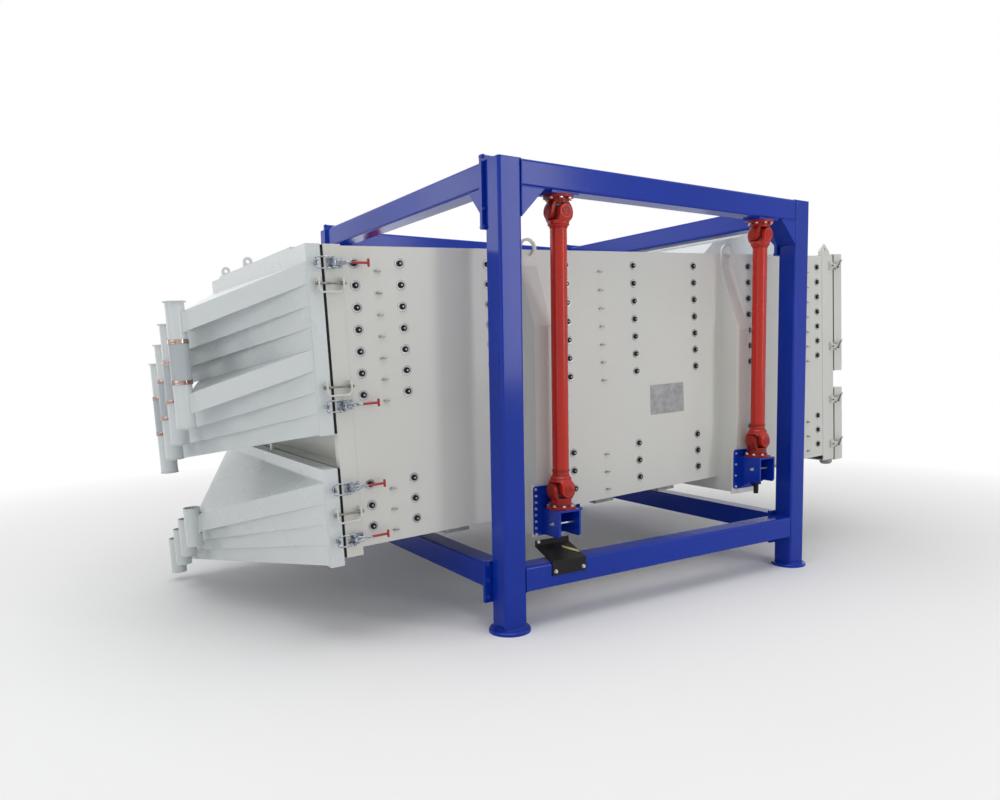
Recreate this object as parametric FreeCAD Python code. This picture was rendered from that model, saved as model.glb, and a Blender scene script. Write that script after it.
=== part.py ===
import FreeCAD
import Part
import math
import os

# Swing screen: a square gyratory sifter hung on four cardan rods in a steel frame.
# Millimetres. +X runs from the discharge end to the feed end, -Y is the front, +Z is up.
# The machine frame has its origin on the floor in the middle of the steel frame.

# Steel frame
FRAME_LENGTH = 2670.0
FRAME_WIDTH = 2910.0
FRAME_ABOVE_BODY = 402.0
TUBE = 150.0
TUBE_WALL = 8.0
TUBE_ROUND = 16.0
LOW_BEAM_BOTTOM = 230.0
FOOT_RADIUS = 125.0
FOOT_THICK = 22.0
FOOT_BEVEL = 7.0
HAUNCH_ALONG = 160.0
HAUNCH_DOWN = 168.0
PLATE_THICK = 12.0
PLATE_ABOVE = 30.0
PLATE_BELOW = 65.0
PLATE_UNDER_HAUNCH = 62.0
PLATE_OUT_TOP = 20.0
PLATE_OUT_LOW = 45.0
PAD_THICK = 15.0
PAD_LENGTH = 190.0
CAP_THICK = 8.0

# Screen body: a box tilted about Y, its feed end high
BODY_TILT = 2.586
BODY_BASE = 654.0
BODY_HALF = 1107.0
BODY_HEIGHT = 1644.0
OVERHANG_DISCHARGE = 809.0
OVERHANG_FEED = 849.0
BAND_DISCHARGE = 96.0
BAND_FEED = 140.0
BAND_PROUD = 3.0
BAND_BELOW = 45.0
BAND_ABOVE = 8.0
BAND_FACE = 12.0
BAND_WALL = 8.0
BAND_LIP = 55.0
RECESS_LIP = 5.0
ROOF_LUG_BACK = 64.0
ROOF_LUG_HALF = 63.0
ROOF_LUG_RISE = 92.0
ROOF_LUG_THICK = 14.0
ROOF_LUG_INSET = 30.0
ROOF_LUG_HOLE = 12.0
WALL = 5.0
SHEET = 3.0
PARTITION_LOW = 470.0
PARTITION_HIGH = 770.0

# Cardan rods
ROD_INSET_DISCHARGE = 455.0
ROD_INSET_FEED = 445.0
ROD_Y = 1380.0
BRACKET_TOP = (685.0, 857.0)
FLANGE_RADIUS = 90.0
FLANGE_THICK = 16.0
FORK_REACH_TOP = 80.0
FORK_REACH_LOW = 99.0
FORK_NECK = 64.0
FORK_ROUND = 88.0
FORK_BASE = 48.0
ROD_SHOULDER = 72.0
ROD_NECK = 88.0
EAR_INNER = 48.0
EAR_OUTER = 80.0
EAR_HALF = 42.0
TRUNNION_RADIUS = 18.0
RUNNING = 0.05
LOW_PLAY = 0.3
ROD_RADIUS = 50.0
ROD_WALL = 6.0

# Hanger columns and rod brackets on the screen body
COLUMN_HALF = 62.0
COLUMN_SHIFT = -47.0
COLUMN_FACE = 1277.0
COLUMN_WALL = 6.0
COLUMN_SLOPE_END = 1785.0
COLUMN_PEAK_DROP = 52.0
COLUMN_BOTTOM_DROP = 105.0
LUG_RISE = 68.0
LUG_HOLE = 46.0
LUG_THICK = 20.0
LUG_ROOT = 120.0
BACK_PLATE_HALF = 135.0
BACK_PLATE_THICK = 12.0
BACK_PLATE_UP = (130.0, 47.0)
BACK_PLATE_DOWN = (175.0, 240.0)
BACK_PLATE_ROUND = 20.0
SEAT_PLATE_MORE = 10.0
SEAT_PLATE_BELOW = (8.0, 38.0)
SEAT_PLATE_THICK = 12.0
BRACKET_HALF = 80.0
BRACKET_DEEP = (165.0, 180.0)
BRACKET_HEEL = (0.0, 60.0)
BRACKET_CHAMFER = 15.0
BRACKET_FRONT = 1472.0
BRACKET_WALL = 12.0
STOP_RADIUS = 17.0
STOP_LENGTH = 66.0
STOP_HOLDER = (26.0, 24.0, 16.0)
STOP_SIDEWAYS = 45.0
STOP_FORWARD = 30.0
UNDER_PAD_U = (-1436.0, -302.0, 265.0, 1400.0)
UNDER_PAD = (78.0, 20.0, 90.0, 28.0)
END_FOOT_BACK = 52.0
END_FOOT_INSET = 40.0
END_FOOT_RADIUS = 50.0
END_FOOT_HIGH = 40.0
END_FOOT_ROUND = 24.0
MEMBER_WALL = 6.0

# Doors and outlets
SEAL_THICK = 16.0
SEAL_WIDTH = 26.0
DOOR_DISCHARGE = 78.0
DOOR_FEED = 100.0
DOOR_SHEET = 5.0
UPPER_DOOR = (641.0, 1653.0)
LOWER_DOOR = (-84.0, 457.0)
FEED_UPPER = (700.0, 1660.0)
FEED_LOWER = (-57.0, 557.0)
COVER_HALF = 862.0
COVER_THICK = 12.0
DOOR_LUG_Y = (190.0, 810.0)
DOOR_LUG_HALF = 30.0
DOOR_LUG_RISE = 48.0
DOOR_LUG_THICK = 16.0
DOOR_LUG_HOLE = 12.0
DOOR_TAB_HALF = 20.0
DOOR_TAB_RISE = 60.0
DUCT_HALF = 1095.0
DUCT_WALL = 3.0
DUCT_GAP = 0.3
DUCT_BITE = 4.0
DUCT_NECK = 45.0
UPPER_DUCT_TOP = 1560.0
UPPER_PITCH = 114.2
UPPER_DROP = 222.0
UPPER_DUCTS = 8
UPPER_PIPE_OUT = 547.0
UPPER_PIPE_Y = (-450.0, -195.0, 60.0, 315.0)
LOWER_DUCT_TOP = 386.0
LOWER_PITCH = 115.0
LOWER_DROP = 334.0
LOWER_PIPE_OUT = 458.0
LOWER_PIPE_Y = (205.0, 456.0, 707.0, 957.0)
PIPE_RADIUS = 51.5
PIPE_WALL = 3.0
RIM_RADIUS = 61.5
RIM_THICK = 8.0
PIPE_ABOVE = 72.0
PIPE_BELOW = 65.0
PIPE_WINDOW_SIDE = 6.0
PIPE_WINDOW_END = 14.0
STUB_TAIL = (62.0, 100.0)
SLEEVE_WALL = 4.0
SLEEVE_LAP = 36.0

# Toggle latches at the discharge end, bolted clamps at the feed end
LATCH_LEVELS = (1551.0, 795.0, 345.0, 58.0)
CLAMP_LEVELS = (1564.0, 905.0, 461.0, 87.0)
CLAMP_HALF = 32.0
CLAMP_STAND = 14.0
CLAMP_STRAP = 9.0
LATCH_PIVOT = 46.0
LATCH_STAND = 36.0
LATCH_FOOT = (12.0, 100.0)
LATCH_FOOT_THICK = 4.0
LATCH_ARM = 145.0
LATCH_GRIP = 241.0
LATCH_TEE_HALF = 27.0
LATCH_PIN = 5.0
CHEEK_INNER = 20.0
CHEEK_OUTER = 25.7
CHEEK_HALF = 14.0
CHEEK_PAST = 8.0
LEVER_HALF = 13.0
LEVER_DEEP = 8.0
LEVER_BEFORE = 10.0
KEEPER_SET = 33.0
KEEPER_HALF = 12.0
HOOK_REACH = 58.3
HOOK_HALF = 30.0
HOOK_ROD = 4.0

# Feed hood on the roof, as (beyond the frame's end, height) pairs, low where a cross beam passes over it
HOOD_PROFILE = ((-345.0, 0.0), (-185.0, 130.0), (-5.0, 162.0), (115.0, 180.0),
                (225.0, 228.0), (625.0, 236.0), (625.0, 0.0))
HOOD_SEAM = 112.0
HOOD_SEAM_GAP = 0.3
HOOD_HALF = 770.0
INLET_SPAN = (265.0, 585.0)
INLET_HALF = 500.0

# Transport lock plates on the bottom beams
LOCK_THICK = 8.0
LOCK_HALF = 125.0
LOCK_LIP = 80.0
LOCK_FLAT = 14.0
LOCK_RISE = 62.0
LOCK_UPSTAND = 100.0
LOCK_SETBACK = 2.0

# Inside
DECK_LEVELS = (1552.0, 1433.0, 1314.0, 1195.0, 1077.0, 958.0, 840.0)
LOW_DECK_LEVELS = (343.0, 224.0, 105.0)
DECK_HIGH = 50.0
DECK_BAR = 45.0
DECK_SIDE_GAP = 0.3
DECK_END_GAP = 10.0
EXCITER_RADIUS = 150.0
EXCITER_HIGH = 150.0
EXCITER_RAISED = 75.0
EXCITER_LEG_OUT = 60.0
EXCITER_LEG_IN = 8.0
EXCITER_LEG_HALF = 30.0
EXCITER_LEG_HIGH = 160.0
EXCITER_SHAFT = 35.0
SHAFT_RAISED = 12.0
SHAFT_LENGTH = 270.0
WEIGHT_RADIUS = 138.0
WEIGHT_HUB = 60.0
WEIGHT_HIGH = 40.0
WEIGHT_RAISED = (22.0, 238.0)
SHAFT_GRIP = 0.15

FRAME_HEIGHT = BODY_BASE + BODY_HEIGHT + FRAME_ABOVE_BODY
HALF_L = FRAME_LENGTH / 2
HALF_W = FRAME_WIDTH / 2
TOP_BEAM_BOTTOM = FRAME_HEIGHT - TUBE
PAD_BOTTOM = TOP_BEAM_BOTTOM - PAD_THICK
TOP_PIVOT = PAD_BOTTOM - FLANGE_THICK - FORK_REACH_TOP
LOW_PIVOT = tuple(z + FLANGE_THICK + FORK_REACH_LOW for z in BRACKET_TOP)
ROD_X = (ROD_INSET_DISCHARGE - HALF_L, HALF_L - ROD_INSET_FEED)
SEAM_DISCHARGE = -HALF_L - OVERHANG_DISCHARGE
SEAM_FEED = HALF_L + OVERHANG_FEED
DOOR_FACE = SEAM_DISCHARGE - SEAL_THICK - DOOR_DISCHARGE
FEED_FACE = SEAM_FEED + SEAL_THICK + DOOR_FEED
UPPER_PIPE_U = DOOR_FACE - UPPER_PIPE_OUT
LOWER_PIPE_U = DOOR_FACE - LOWER_PIPE_OUT
HOOD = tuple((HALF_L + beyond, high) for beyond, high in HOOD_PROFILE)
INLET_U = tuple(HALF_L + beyond for beyond in INLET_SPAN)
SIDE = BODY_HALF + BAND_PROUD
TILT = math.radians(BODY_TILT)
UP = FreeCAD.Vector(0, 0, 1)


def vec(x, y, z):
    return FreeCAD.Vector(x, y, z)


def block(x0, x1, y0, y1, z0, z1):
    low = vec(min(x0, x1), min(y0, y1), min(z0, z1))
    return Part.makeBox(abs(x1 - x0), abs(y1 - y0), abs(z1 - z0), low)


def rod(radius, start, end):
    along = end - start
    return Part.makeCylinder(radius, along.Length, start, along)


def fuse(shapes):
    return shapes[0].multiFuse(shapes[1:]).removeSplitter()


def group(shapes):
    return Part.makeCompound([s for shape in shapes for s in shape.Solids])


def moved(shape, x, y, z):
    copy = shape.copy()
    copy.translate(vec(x, y, z))
    return copy


def turned(shape, axis, angle):
    copy = shape.copy()
    copy.rotate(vec(0, 0, 0), axis, angle)
    return copy


def mirrored_y(shape):
    return shape.mirror(vec(0, 0, 0), vec(0, 1, 0))


def both_sides(shapes):
    return group(list(shapes) + [mirrored_y(s) for s in shapes])


def prism_xz(points, y0, y1):
    """A polygon in the XZ plane, given thickness from y0 to y1."""
    corners = [vec(x, y0, z) for x, z in points]
    face = Part.Face(Part.makePolygon(corners + corners[:1]))
    return face.extrude(vec(0, y1 - y0, 0))


def prism_xy(points, z0, z1):
    corners = [vec(x, y, z0) for x, y in points]
    face = Part.Face(Part.makePolygon(corners + corners[:1]))
    return face.extrude(vec(0, 0, z1 - z0))


def prism_yz(points, x0, x1):
    corners = [vec(x0, y, z) for y, z in points]
    face = Part.Face(Part.makePolygon(corners + corners[:1]))
    return face.extrude(vec(x1 - x0, 0, 0))


def in_body(shape):
    """Take a shape from the body's own level frame to its tilted place in the machine."""
    placed = turned(shape, vec(0, 1, 0), -BODY_TILT)
    return moved(placed, 0, 0, BODY_BASE)


def roof_height(x):
    return BODY_BASE + x * math.tan(TILT) + BODY_HEIGHT / math.cos(TILT)


def floor_height(x):
    return BODY_BASE + x * math.tan(TILT)


def square_tube(length):
    """A hollow square tube along Z with rounded corners."""
    outer = Part.makeBox(TUBE, TUBE, length, vec(-TUBE / 2, -TUBE / 2, 0))
    outer = outer.makeFillet(TUBE_ROUND, [e for e in outer.Edges if abs(e.tangentAt(0).z) > 0.9])
    bore = TUBE - 2 * TUBE_WALL
    inner = Part.makeBox(bore, bore, length, vec(-bore / 2, -bore / 2, 0))
    corner = TUBE_ROUND - TUBE_WALL
    inner = inner.makeFillet(corner, [e for e in inner.Edges if abs(e.tangentAt(0).z) > 0.9])
    return outer.cut(inner)


# Steel frame pieces

def leg():
    """Square tube closed at the top, standing on its foot disc."""
    height = FRAME_HEIGHT - FOOT_THICK
    wide = TUBE / 2 - TUBE_ROUND
    deep = TUBE / 2 - TUBE_WALL / 2
    cap = block(-wide, wide, -deep, deep, height - CAP_THICK, height)
    return moved(fuse([square_tube(height), cap]), 0, 0, FOOT_THICK)


def corners(shape):
    """Copies of a centred shape at the four legs."""
    reach_x = HALF_L - TUBE / 2
    reach_y = HALF_W - TUBE / 2
    return group([moved(shape, x, y, 0) for x in (-reach_x, reach_x) for y in (-reach_y, reach_y)])


def foot_disc():
    straight = FOOT_THICK - FOOT_BEVEL
    disc = Part.makeCylinder(FOOT_RADIUS, straight)
    bevel = Part.makeCone(FOOT_RADIUS, FOOT_RADIUS - FOOT_BEVEL, FOOT_BEVEL, vec(0, 0, straight))
    return fuse([disc, bevel])


def long_beams(bottom):
    length = FRAME_LENGTH - 2 * TUBE
    beam = turned(square_tube(length), vec(0, 1, 0), 90)
    beam = moved(beam, -length / 2, -HALF_W + TUBE / 2, bottom + TUBE / 2)
    return both_sides([beam])


def cross_beams(bottom):
    length = FRAME_WIDTH - 2 * TUBE - 4 * PLATE_THICK
    beam = turned(square_tube(length), vec(1, 0, 0), -90)
    beam = moved(beam, 0, -length / 2, bottom + TUBE / 2)
    reach = HALF_L - TUBE / 2
    return group([moved(beam, -reach, 0, 0), moved(beam, reach, 0, 0)])


def haunch_gussets():
    top = TOP_BEAM_BOTTOM
    leg_x = HALF_L - TUBE
    long_one = prism_xz([(leg_x, top), (leg_x - HAUNCH_ALONG, top), (leg_x, top - HAUNCH_DOWN)],
                        -HALF_W, -HALF_W + TUBE)
    plate_y = HALF_W - TUBE - 2 * PLATE_THICK
    cross_one = prism_yz([(-plate_y, top), (-plate_y + HAUNCH_ALONG, top), (-plate_y, top - HAUNCH_DOWN)],
                         leg_x, HALF_L)
    pair = [long_one, cross_one]
    pair += [s.mirror(vec(0, 0, 0), vec(1, 0, 0)) for s in pair]
    return both_sides(pair)


def end_flange_plates():
    """Paired bolting plates between the legs and the cross beams, top and bottom."""
    spans = [(TOP_BEAM_BOTTOM - HAUNCH_DOWN - PLATE_UNDER_HAUNCH, FRAME_HEIGHT + PLATE_ABOVE, PLATE_OUT_TOP),
             (LOW_BEAM_BOTTOM - PLATE_BELOW, LOW_BEAM_BOTTOM + TUBE + PLATE_ABOVE, PLATE_OUT_LOW)]
    plates = []
    for low, high, out in spans:
        half = TUBE / 2 + out
        for layer in range(2):
            face = -HALF_W + TUBE + layer * PLATE_THICK
            for x in (TUBE / 2 - HALF_L, HALF_L - TUBE / 2):
                plates.append(block(x - half, x + half, face, face + PLATE_THICK, low, high))
    return both_sides(plates)


def hanger_pads():
    half = PAD_LENGTH / 2
    pads = [block(x - half, x + half, -HALF_W, -HALF_W + TUBE, PAD_BOTTOM, TOP_BEAM_BOTTOM) for x in ROD_X]
    return both_sides(pads)


# Cardan rods

def fork(reach, play):
    """Two ears either side of a cross at the origin, holding its X pins, joined by a base above."""
    ear = block(EAR_INNER, EAR_OUTER, -EAR_HALF, EAR_HALF, 0, reach)
    ear = ear.fuse(rod(EAR_HALF, vec(EAR_INNER, 0, 0), vec(EAR_OUTER, 0, 0)))
    ear = ear.common(Part.makeSphere(FORK_ROUND))
    base = Part.makeCylinder(FORK_NECK, reach - FORK_BASE, vec(0, 0, FORK_BASE))
    whole = fuse([ear, turned(ear, UP, 180), base])
    bore = rod(TRUNNION_RADIUS + play, vec(-FLANGE_RADIUS, 0, 0), vec(FLANGE_RADIUS, 0, 0))
    return whole.cut(bore)


def flange_yoke(reach, play):
    flange = Part.makeCylinder(FLANGE_RADIUS, FLANGE_THICK, vec(0, 0, reach))
    return fuse([fork(reach, play), flange])


def cross():
    half = EAR_HALF - 6
    body = Part.makeBox(2 * half, 2 * half, 2 * half, vec(-half, -half, -half))
    reach = EAR_OUTER - 3
    pin_x = rod(TRUNNION_RADIUS, vec(-reach, 0, 0), vec(reach, 0, 0))
    pin_y = rod(TRUNNION_RADIUS, vec(0, -reach, 0), vec(0, reach, 0))
    return fuse([body, pin_x, pin_y])


def cardan_rod(length):
    """Hollow tube with a fork at each end for the Y pins; the lower pivot is at the origin."""
    neck = ROD_NECK
    end = turned(fork(ROD_SHOULDER, RUNNING), UP, 90)
    end = fuse([end, Part.makeCone(FORK_NECK, ROD_RADIUS, neck - ROD_SHOULDER, vec(0, 0, ROD_SHOULDER))])
    top_end = moved(turned(end, vec(0, 1, 0), 180), 0, 0, length)
    tube = Part.makeCylinder(ROD_RADIUS, length - 2 * neck, vec(0, 0, neck))
    hollow = Part.makeCylinder(ROD_RADIUS - ROD_WALL, length - 2 * neck, vec(0, 0, neck))
    return fuse([end, tube, top_end]).cut(hollow)


def rod_places():
    """Each rod's name, position and lower pivot height."""
    places = []
    for end, x, low in zip(("discharge", "feed"), ROD_X, LOW_PIVOT):
        for side, y in (("front", -ROD_Y), ("rear", ROD_Y)):
            places.append((side + "_" + end, x, y, low))
    return places


def top_flange_yokes():
    yokes = [moved(flange_yoke(FORK_REACH_TOP, RUNNING), x, y, TOP_PIVOT) for _, x, y, _ in rod_places()]
    return group(yokes)


def bottom_flange_yokes():
    yoke = turned(flange_yoke(FORK_REACH_LOW, LOW_PLAY), vec(1, 0, 0), 180)
    return group([moved(yoke, x, y, low) for _, x, y, low in rod_places()])


# Screen body shell

def side_walls():
    start, end = SEAM_DISCHARGE + BAND_DISCHARGE, SEAM_FEED - BAND_FEED
    wall = block(start, end, -BODY_HALF, WALL - BODY_HALF, 0, BODY_HEIGHT)
    return in_body(both_sides([wall]))


def horizontal_plate(low, thick):
    inside = BODY_HALF - WALL
    start, end = SEAM_DISCHARGE + BAND_DISCHARGE, SEAM_FEED - BAND_FEED
    return in_body(block(start, end, -inside, inside, low, low + thick))


def roof_plate():
    plate = horizontal_plate(BODY_HEIGHT - SHEET, SHEET)
    inlet = block(INLET_U[0], INLET_U[1], -INLET_HALF, INLET_HALF, BODY_HEIGHT - SHEET, BODY_HEIGHT)
    return plate.cut(in_body(inlet))


def end_frame(seam, inward, band, recess):
    """Angle-section ring at one end: a door window above and below, and a closed recess between."""
    low, high = -BAND_BELOW, BODY_HEIGHT + BAND_ABOVE
    end = seam + inward * band
    face = seam + inward * BAND_FACE
    ring = block(seam, end, -SIDE, SIDE, low, high)
    ring = ring.cut(block(face, end, BAND_WALL - SIDE, SIDE - BAND_WALL, low + BAND_WALL, high - BAND_WALL))
    inside = SIDE - BAND_LIP
    lower_window = (low + BAND_LIP, recess[0] - BAND_LIP)
    upper_window = (recess[1] + BAND_LIP, high - BAND_LIP)
    for bottom, top in (lower_window, recess, upper_window):
        ring = ring.cut(block(seam, face, -inside, inside, bottom, top))
    deep = [block(face, end, BAND_WALL - SIDE, SIDE - BAND_WALL, recess[0] - BAND_WALL, recess[0]),
            block(face, end, BAND_WALL - SIDE, SIDE - BAND_WALL, recess[1], recess[1] + BAND_WALL),
            block(end - inward * BAND_WALL, end, BAND_WALL - SIDE, SIDE - BAND_WALL, recess[0], recess[1])]
    return fuse([ring] + deep)


def roof_lug():
    """Five-cornered lifting plate on top of the feed end frame."""
    base = BODY_HEIGHT + BAND_ABOVE
    u, half, rise = SEAM_FEED - ROOF_LUG_BACK, ROOF_LUG_HALF, ROOF_LUG_RISE
    outline = [(u - half, base), (u + half, base), (u + half, base + rise / 3),
               (u, base + rise), (u - half, base + rise / 3)]
    y = ROOF_LUG_INSET - SIDE
    hole = rod(ROOF_LUG_HOLE, vec(u, y, base + rise / 2), vec(u, y + ROOF_LUG_THICK, base + rise / 2))
    return prism_xz(outline, y, y + ROOF_LUG_THICK).cut(hole)


def end_frames():
    discharge = (LOWER_DOOR[1] + RECESS_LIP, UPPER_DOOR[0] - RECESS_LIP)
    feed = (FEED_LOWER[1] + RECESS_LIP, FEED_UPPER[0] - RECESS_LIP)
    discharge_frame = end_frame(SEAM_DISCHARGE, 1, BAND_DISCHARGE, discharge)
    feed_ring = end_frame(SEAM_FEED, -1, BAND_FEED, feed)
    feed_frame = fuse([feed_ring, roof_lug(), mirrored_y(roof_lug())])
    return in_body(group([discharge_frame, feed_frame]))


def partition_plates():
    low = horizontal_plate(PARTITION_LOW, SHEET)
    high = horizontal_plate(PARTITION_HIGH, SHEET)
    return group([low, high])


def column_places():
    """Middle of each hanger column and the height of its foot."""
    places = [x + COLUMN_SHIFT for x in ROD_X]
    return [(x, floor_height(x) - COLUMN_BOTTOM_DROP) for x in places]


def hanger_columns():
    """Box columns welded on the side walls, upright, tapered at the top, with a lifting ring."""
    columns = []
    t = COLUMN_WALL
    wall = BODY_HALF
    half = COLUMN_HALF
    for k, (x, bottom) in enumerate(column_places()):
        peak = roof_height(x) - COLUMN_PEAK_DROP
        profile = [(-wall, bottom), (-COLUMN_FACE, bottom), (-COLUMN_FACE, COLUMN_SLOPE_END), (-wall, peak)]
        shell = prism_yz(profile, x - half, x + half)
        hollow = [(-wall - t, bottom + t), (-COLUMN_FACE + t, bottom + t),
                  (-COLUMN_FACE + t, COLUMN_SLOPE_END - t), (-wall - t, peak - 6 * t)]
        shell = shell.cut(prism_yz(hollow, x - half + t, x + half - t))
        centre = roof_height(x) + LUG_RISE - half
        y0 = -wall - LUG_THICK
        lug = block(x - half, x + half, y0, -wall, peak - LUG_ROOT, centre)
        eye, eye_back = vec(x, y0, centre), vec(x, -wall, centre)
        lug = lug.fuse(rod(half, eye, eye_back)).cut(rod(LUG_HOLE, eye, eye_back))
        wide = BACK_PLATE_HALF + SEAT_PLATE_MORE
        low = BRACKET_TOP[k] - BACK_PLATE_DOWN[k] - SEAT_PLATE_BELOW[k]
        high = BRACKET_TOP[k] + BACK_PLATE_UP[k] + SEAT_PLATE_MORE
        near, far = -COLUMN_FACE, SEAT_PLATE_THICK - COLUMN_FACE
        seat = block(ROD_X[k] - wide, ROD_X[k] + wide, near, far, low, high)
        columns.append(fuse([shell, lug, seat]))
    return both_sides(columns)


def under_cross_members():
    """Box beams under the floor, each joining a front column's foot to the rear one's."""
    members = []
    t = MEMBER_WALL
    for x, bottom in column_places():
        x0, x1 = x - COLUMN_HALF, x + COLUMN_HALF
        outer = [(x0, bottom), (x1, bottom), (x1, floor_height(x1)), (x0, floor_height(x0))]
        inner = [(x0 + t, bottom + t), (x1 - t, bottom + t), (x1 - t, floor_height(x1) - t),
                 (x0 + t, floor_height(x0) - t)]
        beam = prism_xz(outer, -BODY_HALF, BODY_HALF)
        members.append(beam.cut(prism_xz(inner, -BODY_HALF, BODY_HALF)))
    return group(members)


def rod_bracket(x, top, up, down, deep, heel):
    """Back plate, two side plates and a top plate, open to the front and below."""
    plate_y = -COLUMN_FACE - BACK_PLATE_THICK
    back = block(x - BACK_PLATE_HALF, x + BACK_PLATE_HALF, plate_y, -COLUMN_FACE, top - down, top + up)
    back = back.makeFillet(BACK_PLATE_ROUND, [e for e in back.Edges if abs(e.tangentAt(0).y) > 0.9])
    pieces = [back]
    edge = BRACKET_CHAMFER
    side_plate = [(plate_y, top), (-BRACKET_FRONT, top), (-BRACKET_FRONT, top - deep + edge),
                  (-BRACKET_FRONT + edge, top - deep), (-ROD_Y, top - deep), (plate_y, top - deep - heel)]
    for side in (-1, 1):
        outer = x + side * BRACKET_HALF
        inner = outer - side * BRACKET_WALL
        pieces.append(prism_yz(side_plate, min(outer, inner), max(outer, inner)))
    seat_low = top - BRACKET_WALL
    pieces.append(block(x - BRACKET_HALF, x + BRACKET_HALF, plate_y, -BRACKET_FRONT, seat_low, top))
    return fuse(pieces)


def rod_brackets():
    sizes = zip(ROD_X, BRACKET_TOP, BACK_PLATE_UP, BACK_PLATE_DOWN, BRACKET_DEEP, BRACKET_HEEL)
    return both_sides([rod_bracket(*bracket) for bracket in sizes])


def rubber_stops():
    """Round buffers under the feed brackets, each on a small holder plate."""
    x = ROD_X[1] - STOP_SIDEWAYS
    y = -ROD_Y - STOP_FORWARD
    top = BRACKET_TOP[1] - BRACKET_DEEP[1]
    wide, deep, high = STOP_HOLDER
    holder = block(x - wide, x + wide, y - deep, y + deep, top - high, top)
    buffer = Part.makeCylinder(STOP_RADIUS, STOP_LENGTH, vec(x, y, top - high - STOP_LENGTH))
    return both_sides([fuse([holder, buffer])])


def under_body_pads():
    half, near, far, thick = UNDER_PAD
    pads = [block(u - half, u + half, near - BODY_HALF, far - BODY_HALF, -thick, 0) for u in UNDER_PAD_U]
    foot = vec(SEAM_FEED - END_FOOT_BACK, END_FOOT_INSET - SIDE, -BAND_BELOW - END_FOOT_HIGH)
    end_foot = Part.makeCylinder(END_FOOT_RADIUS, END_FOOT_HIGH, foot)
    bottom = [e for e in end_foot.Edges if e.BoundBox.ZMax < foot.z + 1]
    pads.append(end_foot.makeFillet(END_FOOT_ROUND, bottom))
    return in_body(both_sides(pads))


# Doors and seals

def door_seals():
    rings = []
    doors = [(SEAM_DISCHARGE, -1, UPPER_DOOR), (SEAM_DISCHARGE, -1, LOWER_DOOR),
             (SEAM_FEED, 1, FEED_UPPER), (SEAM_FEED, 1, FEED_LOWER)]
    for seam, outward, (low, high) in doors:
        low = max(low, -BAND_BELOW)
        high = min(high, BODY_HEIGHT + BAND_ABOVE)
        end = seam + outward * SEAL_THICK
        w = SEAL_WIDTH
        ring = block(seam, end, 4 - SIDE, SIDE - 4, low + 4, high - 4)
        rings.append(ring.cut(block(seam, end, 4 - SIDE + w, SIDE - 4 - w, low + 4 + w, high - 4 - w)))
    return in_body(group(rings))


def door_tray(face, inner, span, window):
    """A pressed door: face sheet and rims, open to the body, with a window through the face."""
    t = DOOR_SHEET
    inward = 1 if inner > face else -1
    tray = block(face, inner, -SIDE, SIDE, span[0], span[1])
    pocket = block(face + inward * t, inner, t - SIDE, SIDE - t, span[0] + t, span[1] - t)
    tray = tray.cut(pocket)
    if window:
        tray = tray.cut(block(face, face + inward * t, -DUCT_HALF, DUCT_HALF, window[0], window[1]))
    return tray


def upper_discharge_door():
    inner = SEAM_DISCHARGE - SEAL_THICK
    low = UPPER_DUCT_TOP - UPPER_DUCTS * UPPER_PITCH
    door = door_tray(DOOR_FACE, inner, UPPER_DOOR, (low, UPPER_DUCT_TOP))
    base = UPPER_DOOR[1]
    cover = block(DOOR_FACE, inner, -COVER_HALF, COVER_HALF, base, base + COVER_THICK)
    lugs = []
    middle = DOOR_FACE + DOOR_DISCHARGE / 2
    top = base + DOOR_LUG_RISE
    for y in DOOR_LUG_Y:
        front, back = y - DOOR_LUG_THICK / 2, y + DOOR_LUG_THICK / 2
        lug = block(middle - DOOR_LUG_HALF, middle + DOOR_LUG_HALF, front, back, base, top)
        eye, eye_back = vec(middle, front, top), vec(middle, back, top)
        lugs.append(lug.fuse(rod(DOOR_LUG_HALF, eye, eye_back)).cut(rod(DOOR_LUG_HOLE, eye, eye_back)))
    return in_body(fuse([door, cover] + lugs))


def lower_discharge_door():
    low = LOWER_DUCT_TOP - len(LOWER_PIPE_Y) * LOWER_PITCH
    door = door_tray(DOOR_FACE, SEAM_DISCHARGE - SEAL_THICK, LOWER_DOOR, (low, LOWER_DUCT_TOP))
    near = DOOR_FACE + DOOR_DISCHARGE / 2 - DOOR_LUG_THICK / 2
    base = LOWER_DOOR[1]
    tab = block(near, near + DOOR_LUG_THICK, -DOOR_TAB_HALF, DOOR_TAB_HALF, base, base + DOOR_TAB_RISE)
    return in_body(fuse([door, tab]))


def feed_door(span):
    return in_body(door_tray(FEED_FACE, SEAM_FEED + SEAL_THICK, span, None))


# Fan ducts and outlet pipes

def duct_plan(pipe_u, pipe_y):
    """Each side sheet of a duct seen from above, as its outer and inner lines from door to pipe."""
    sides = []
    knee = pipe_u + DUCT_NECK
    for way in (-1, 1):
        wide = way * DUCT_HALF
        tip = pipe_y + way * (PIPE_RADIUS - DUCT_BITE)
        slant = abs(wide - tip) / (DOOR_FACE - knee)
        across = DUCT_WALL * math.hypot(1, slant)
        bend = knee + (across - DUCT_WALL) / slant
        inside = tip - way * DUCT_WALL
        outer = [(DOOR_FACE, wide), (knee, tip), (pipe_u, tip)]
        inner = [(DOOR_FACE, wide - way * across), (bend, inside), (pipe_u, inside)]
        sides.append((outer, inner))
    return sides


def sloped_sheet(outline, upper, thick, drop, pipe_u):
    """A plate of a given outline from above, between two planes that fall from door to pipe."""
    slab = prism_xz([(DOOR_FACE, upper), (DOOR_FACE, upper - thick),
                     (pipe_u, upper - thick - drop), (pipe_u, upper - drop)], -SIDE, SIDE)
    return prism_xy(outline, upper - thick - drop, upper).common(slab)


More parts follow.
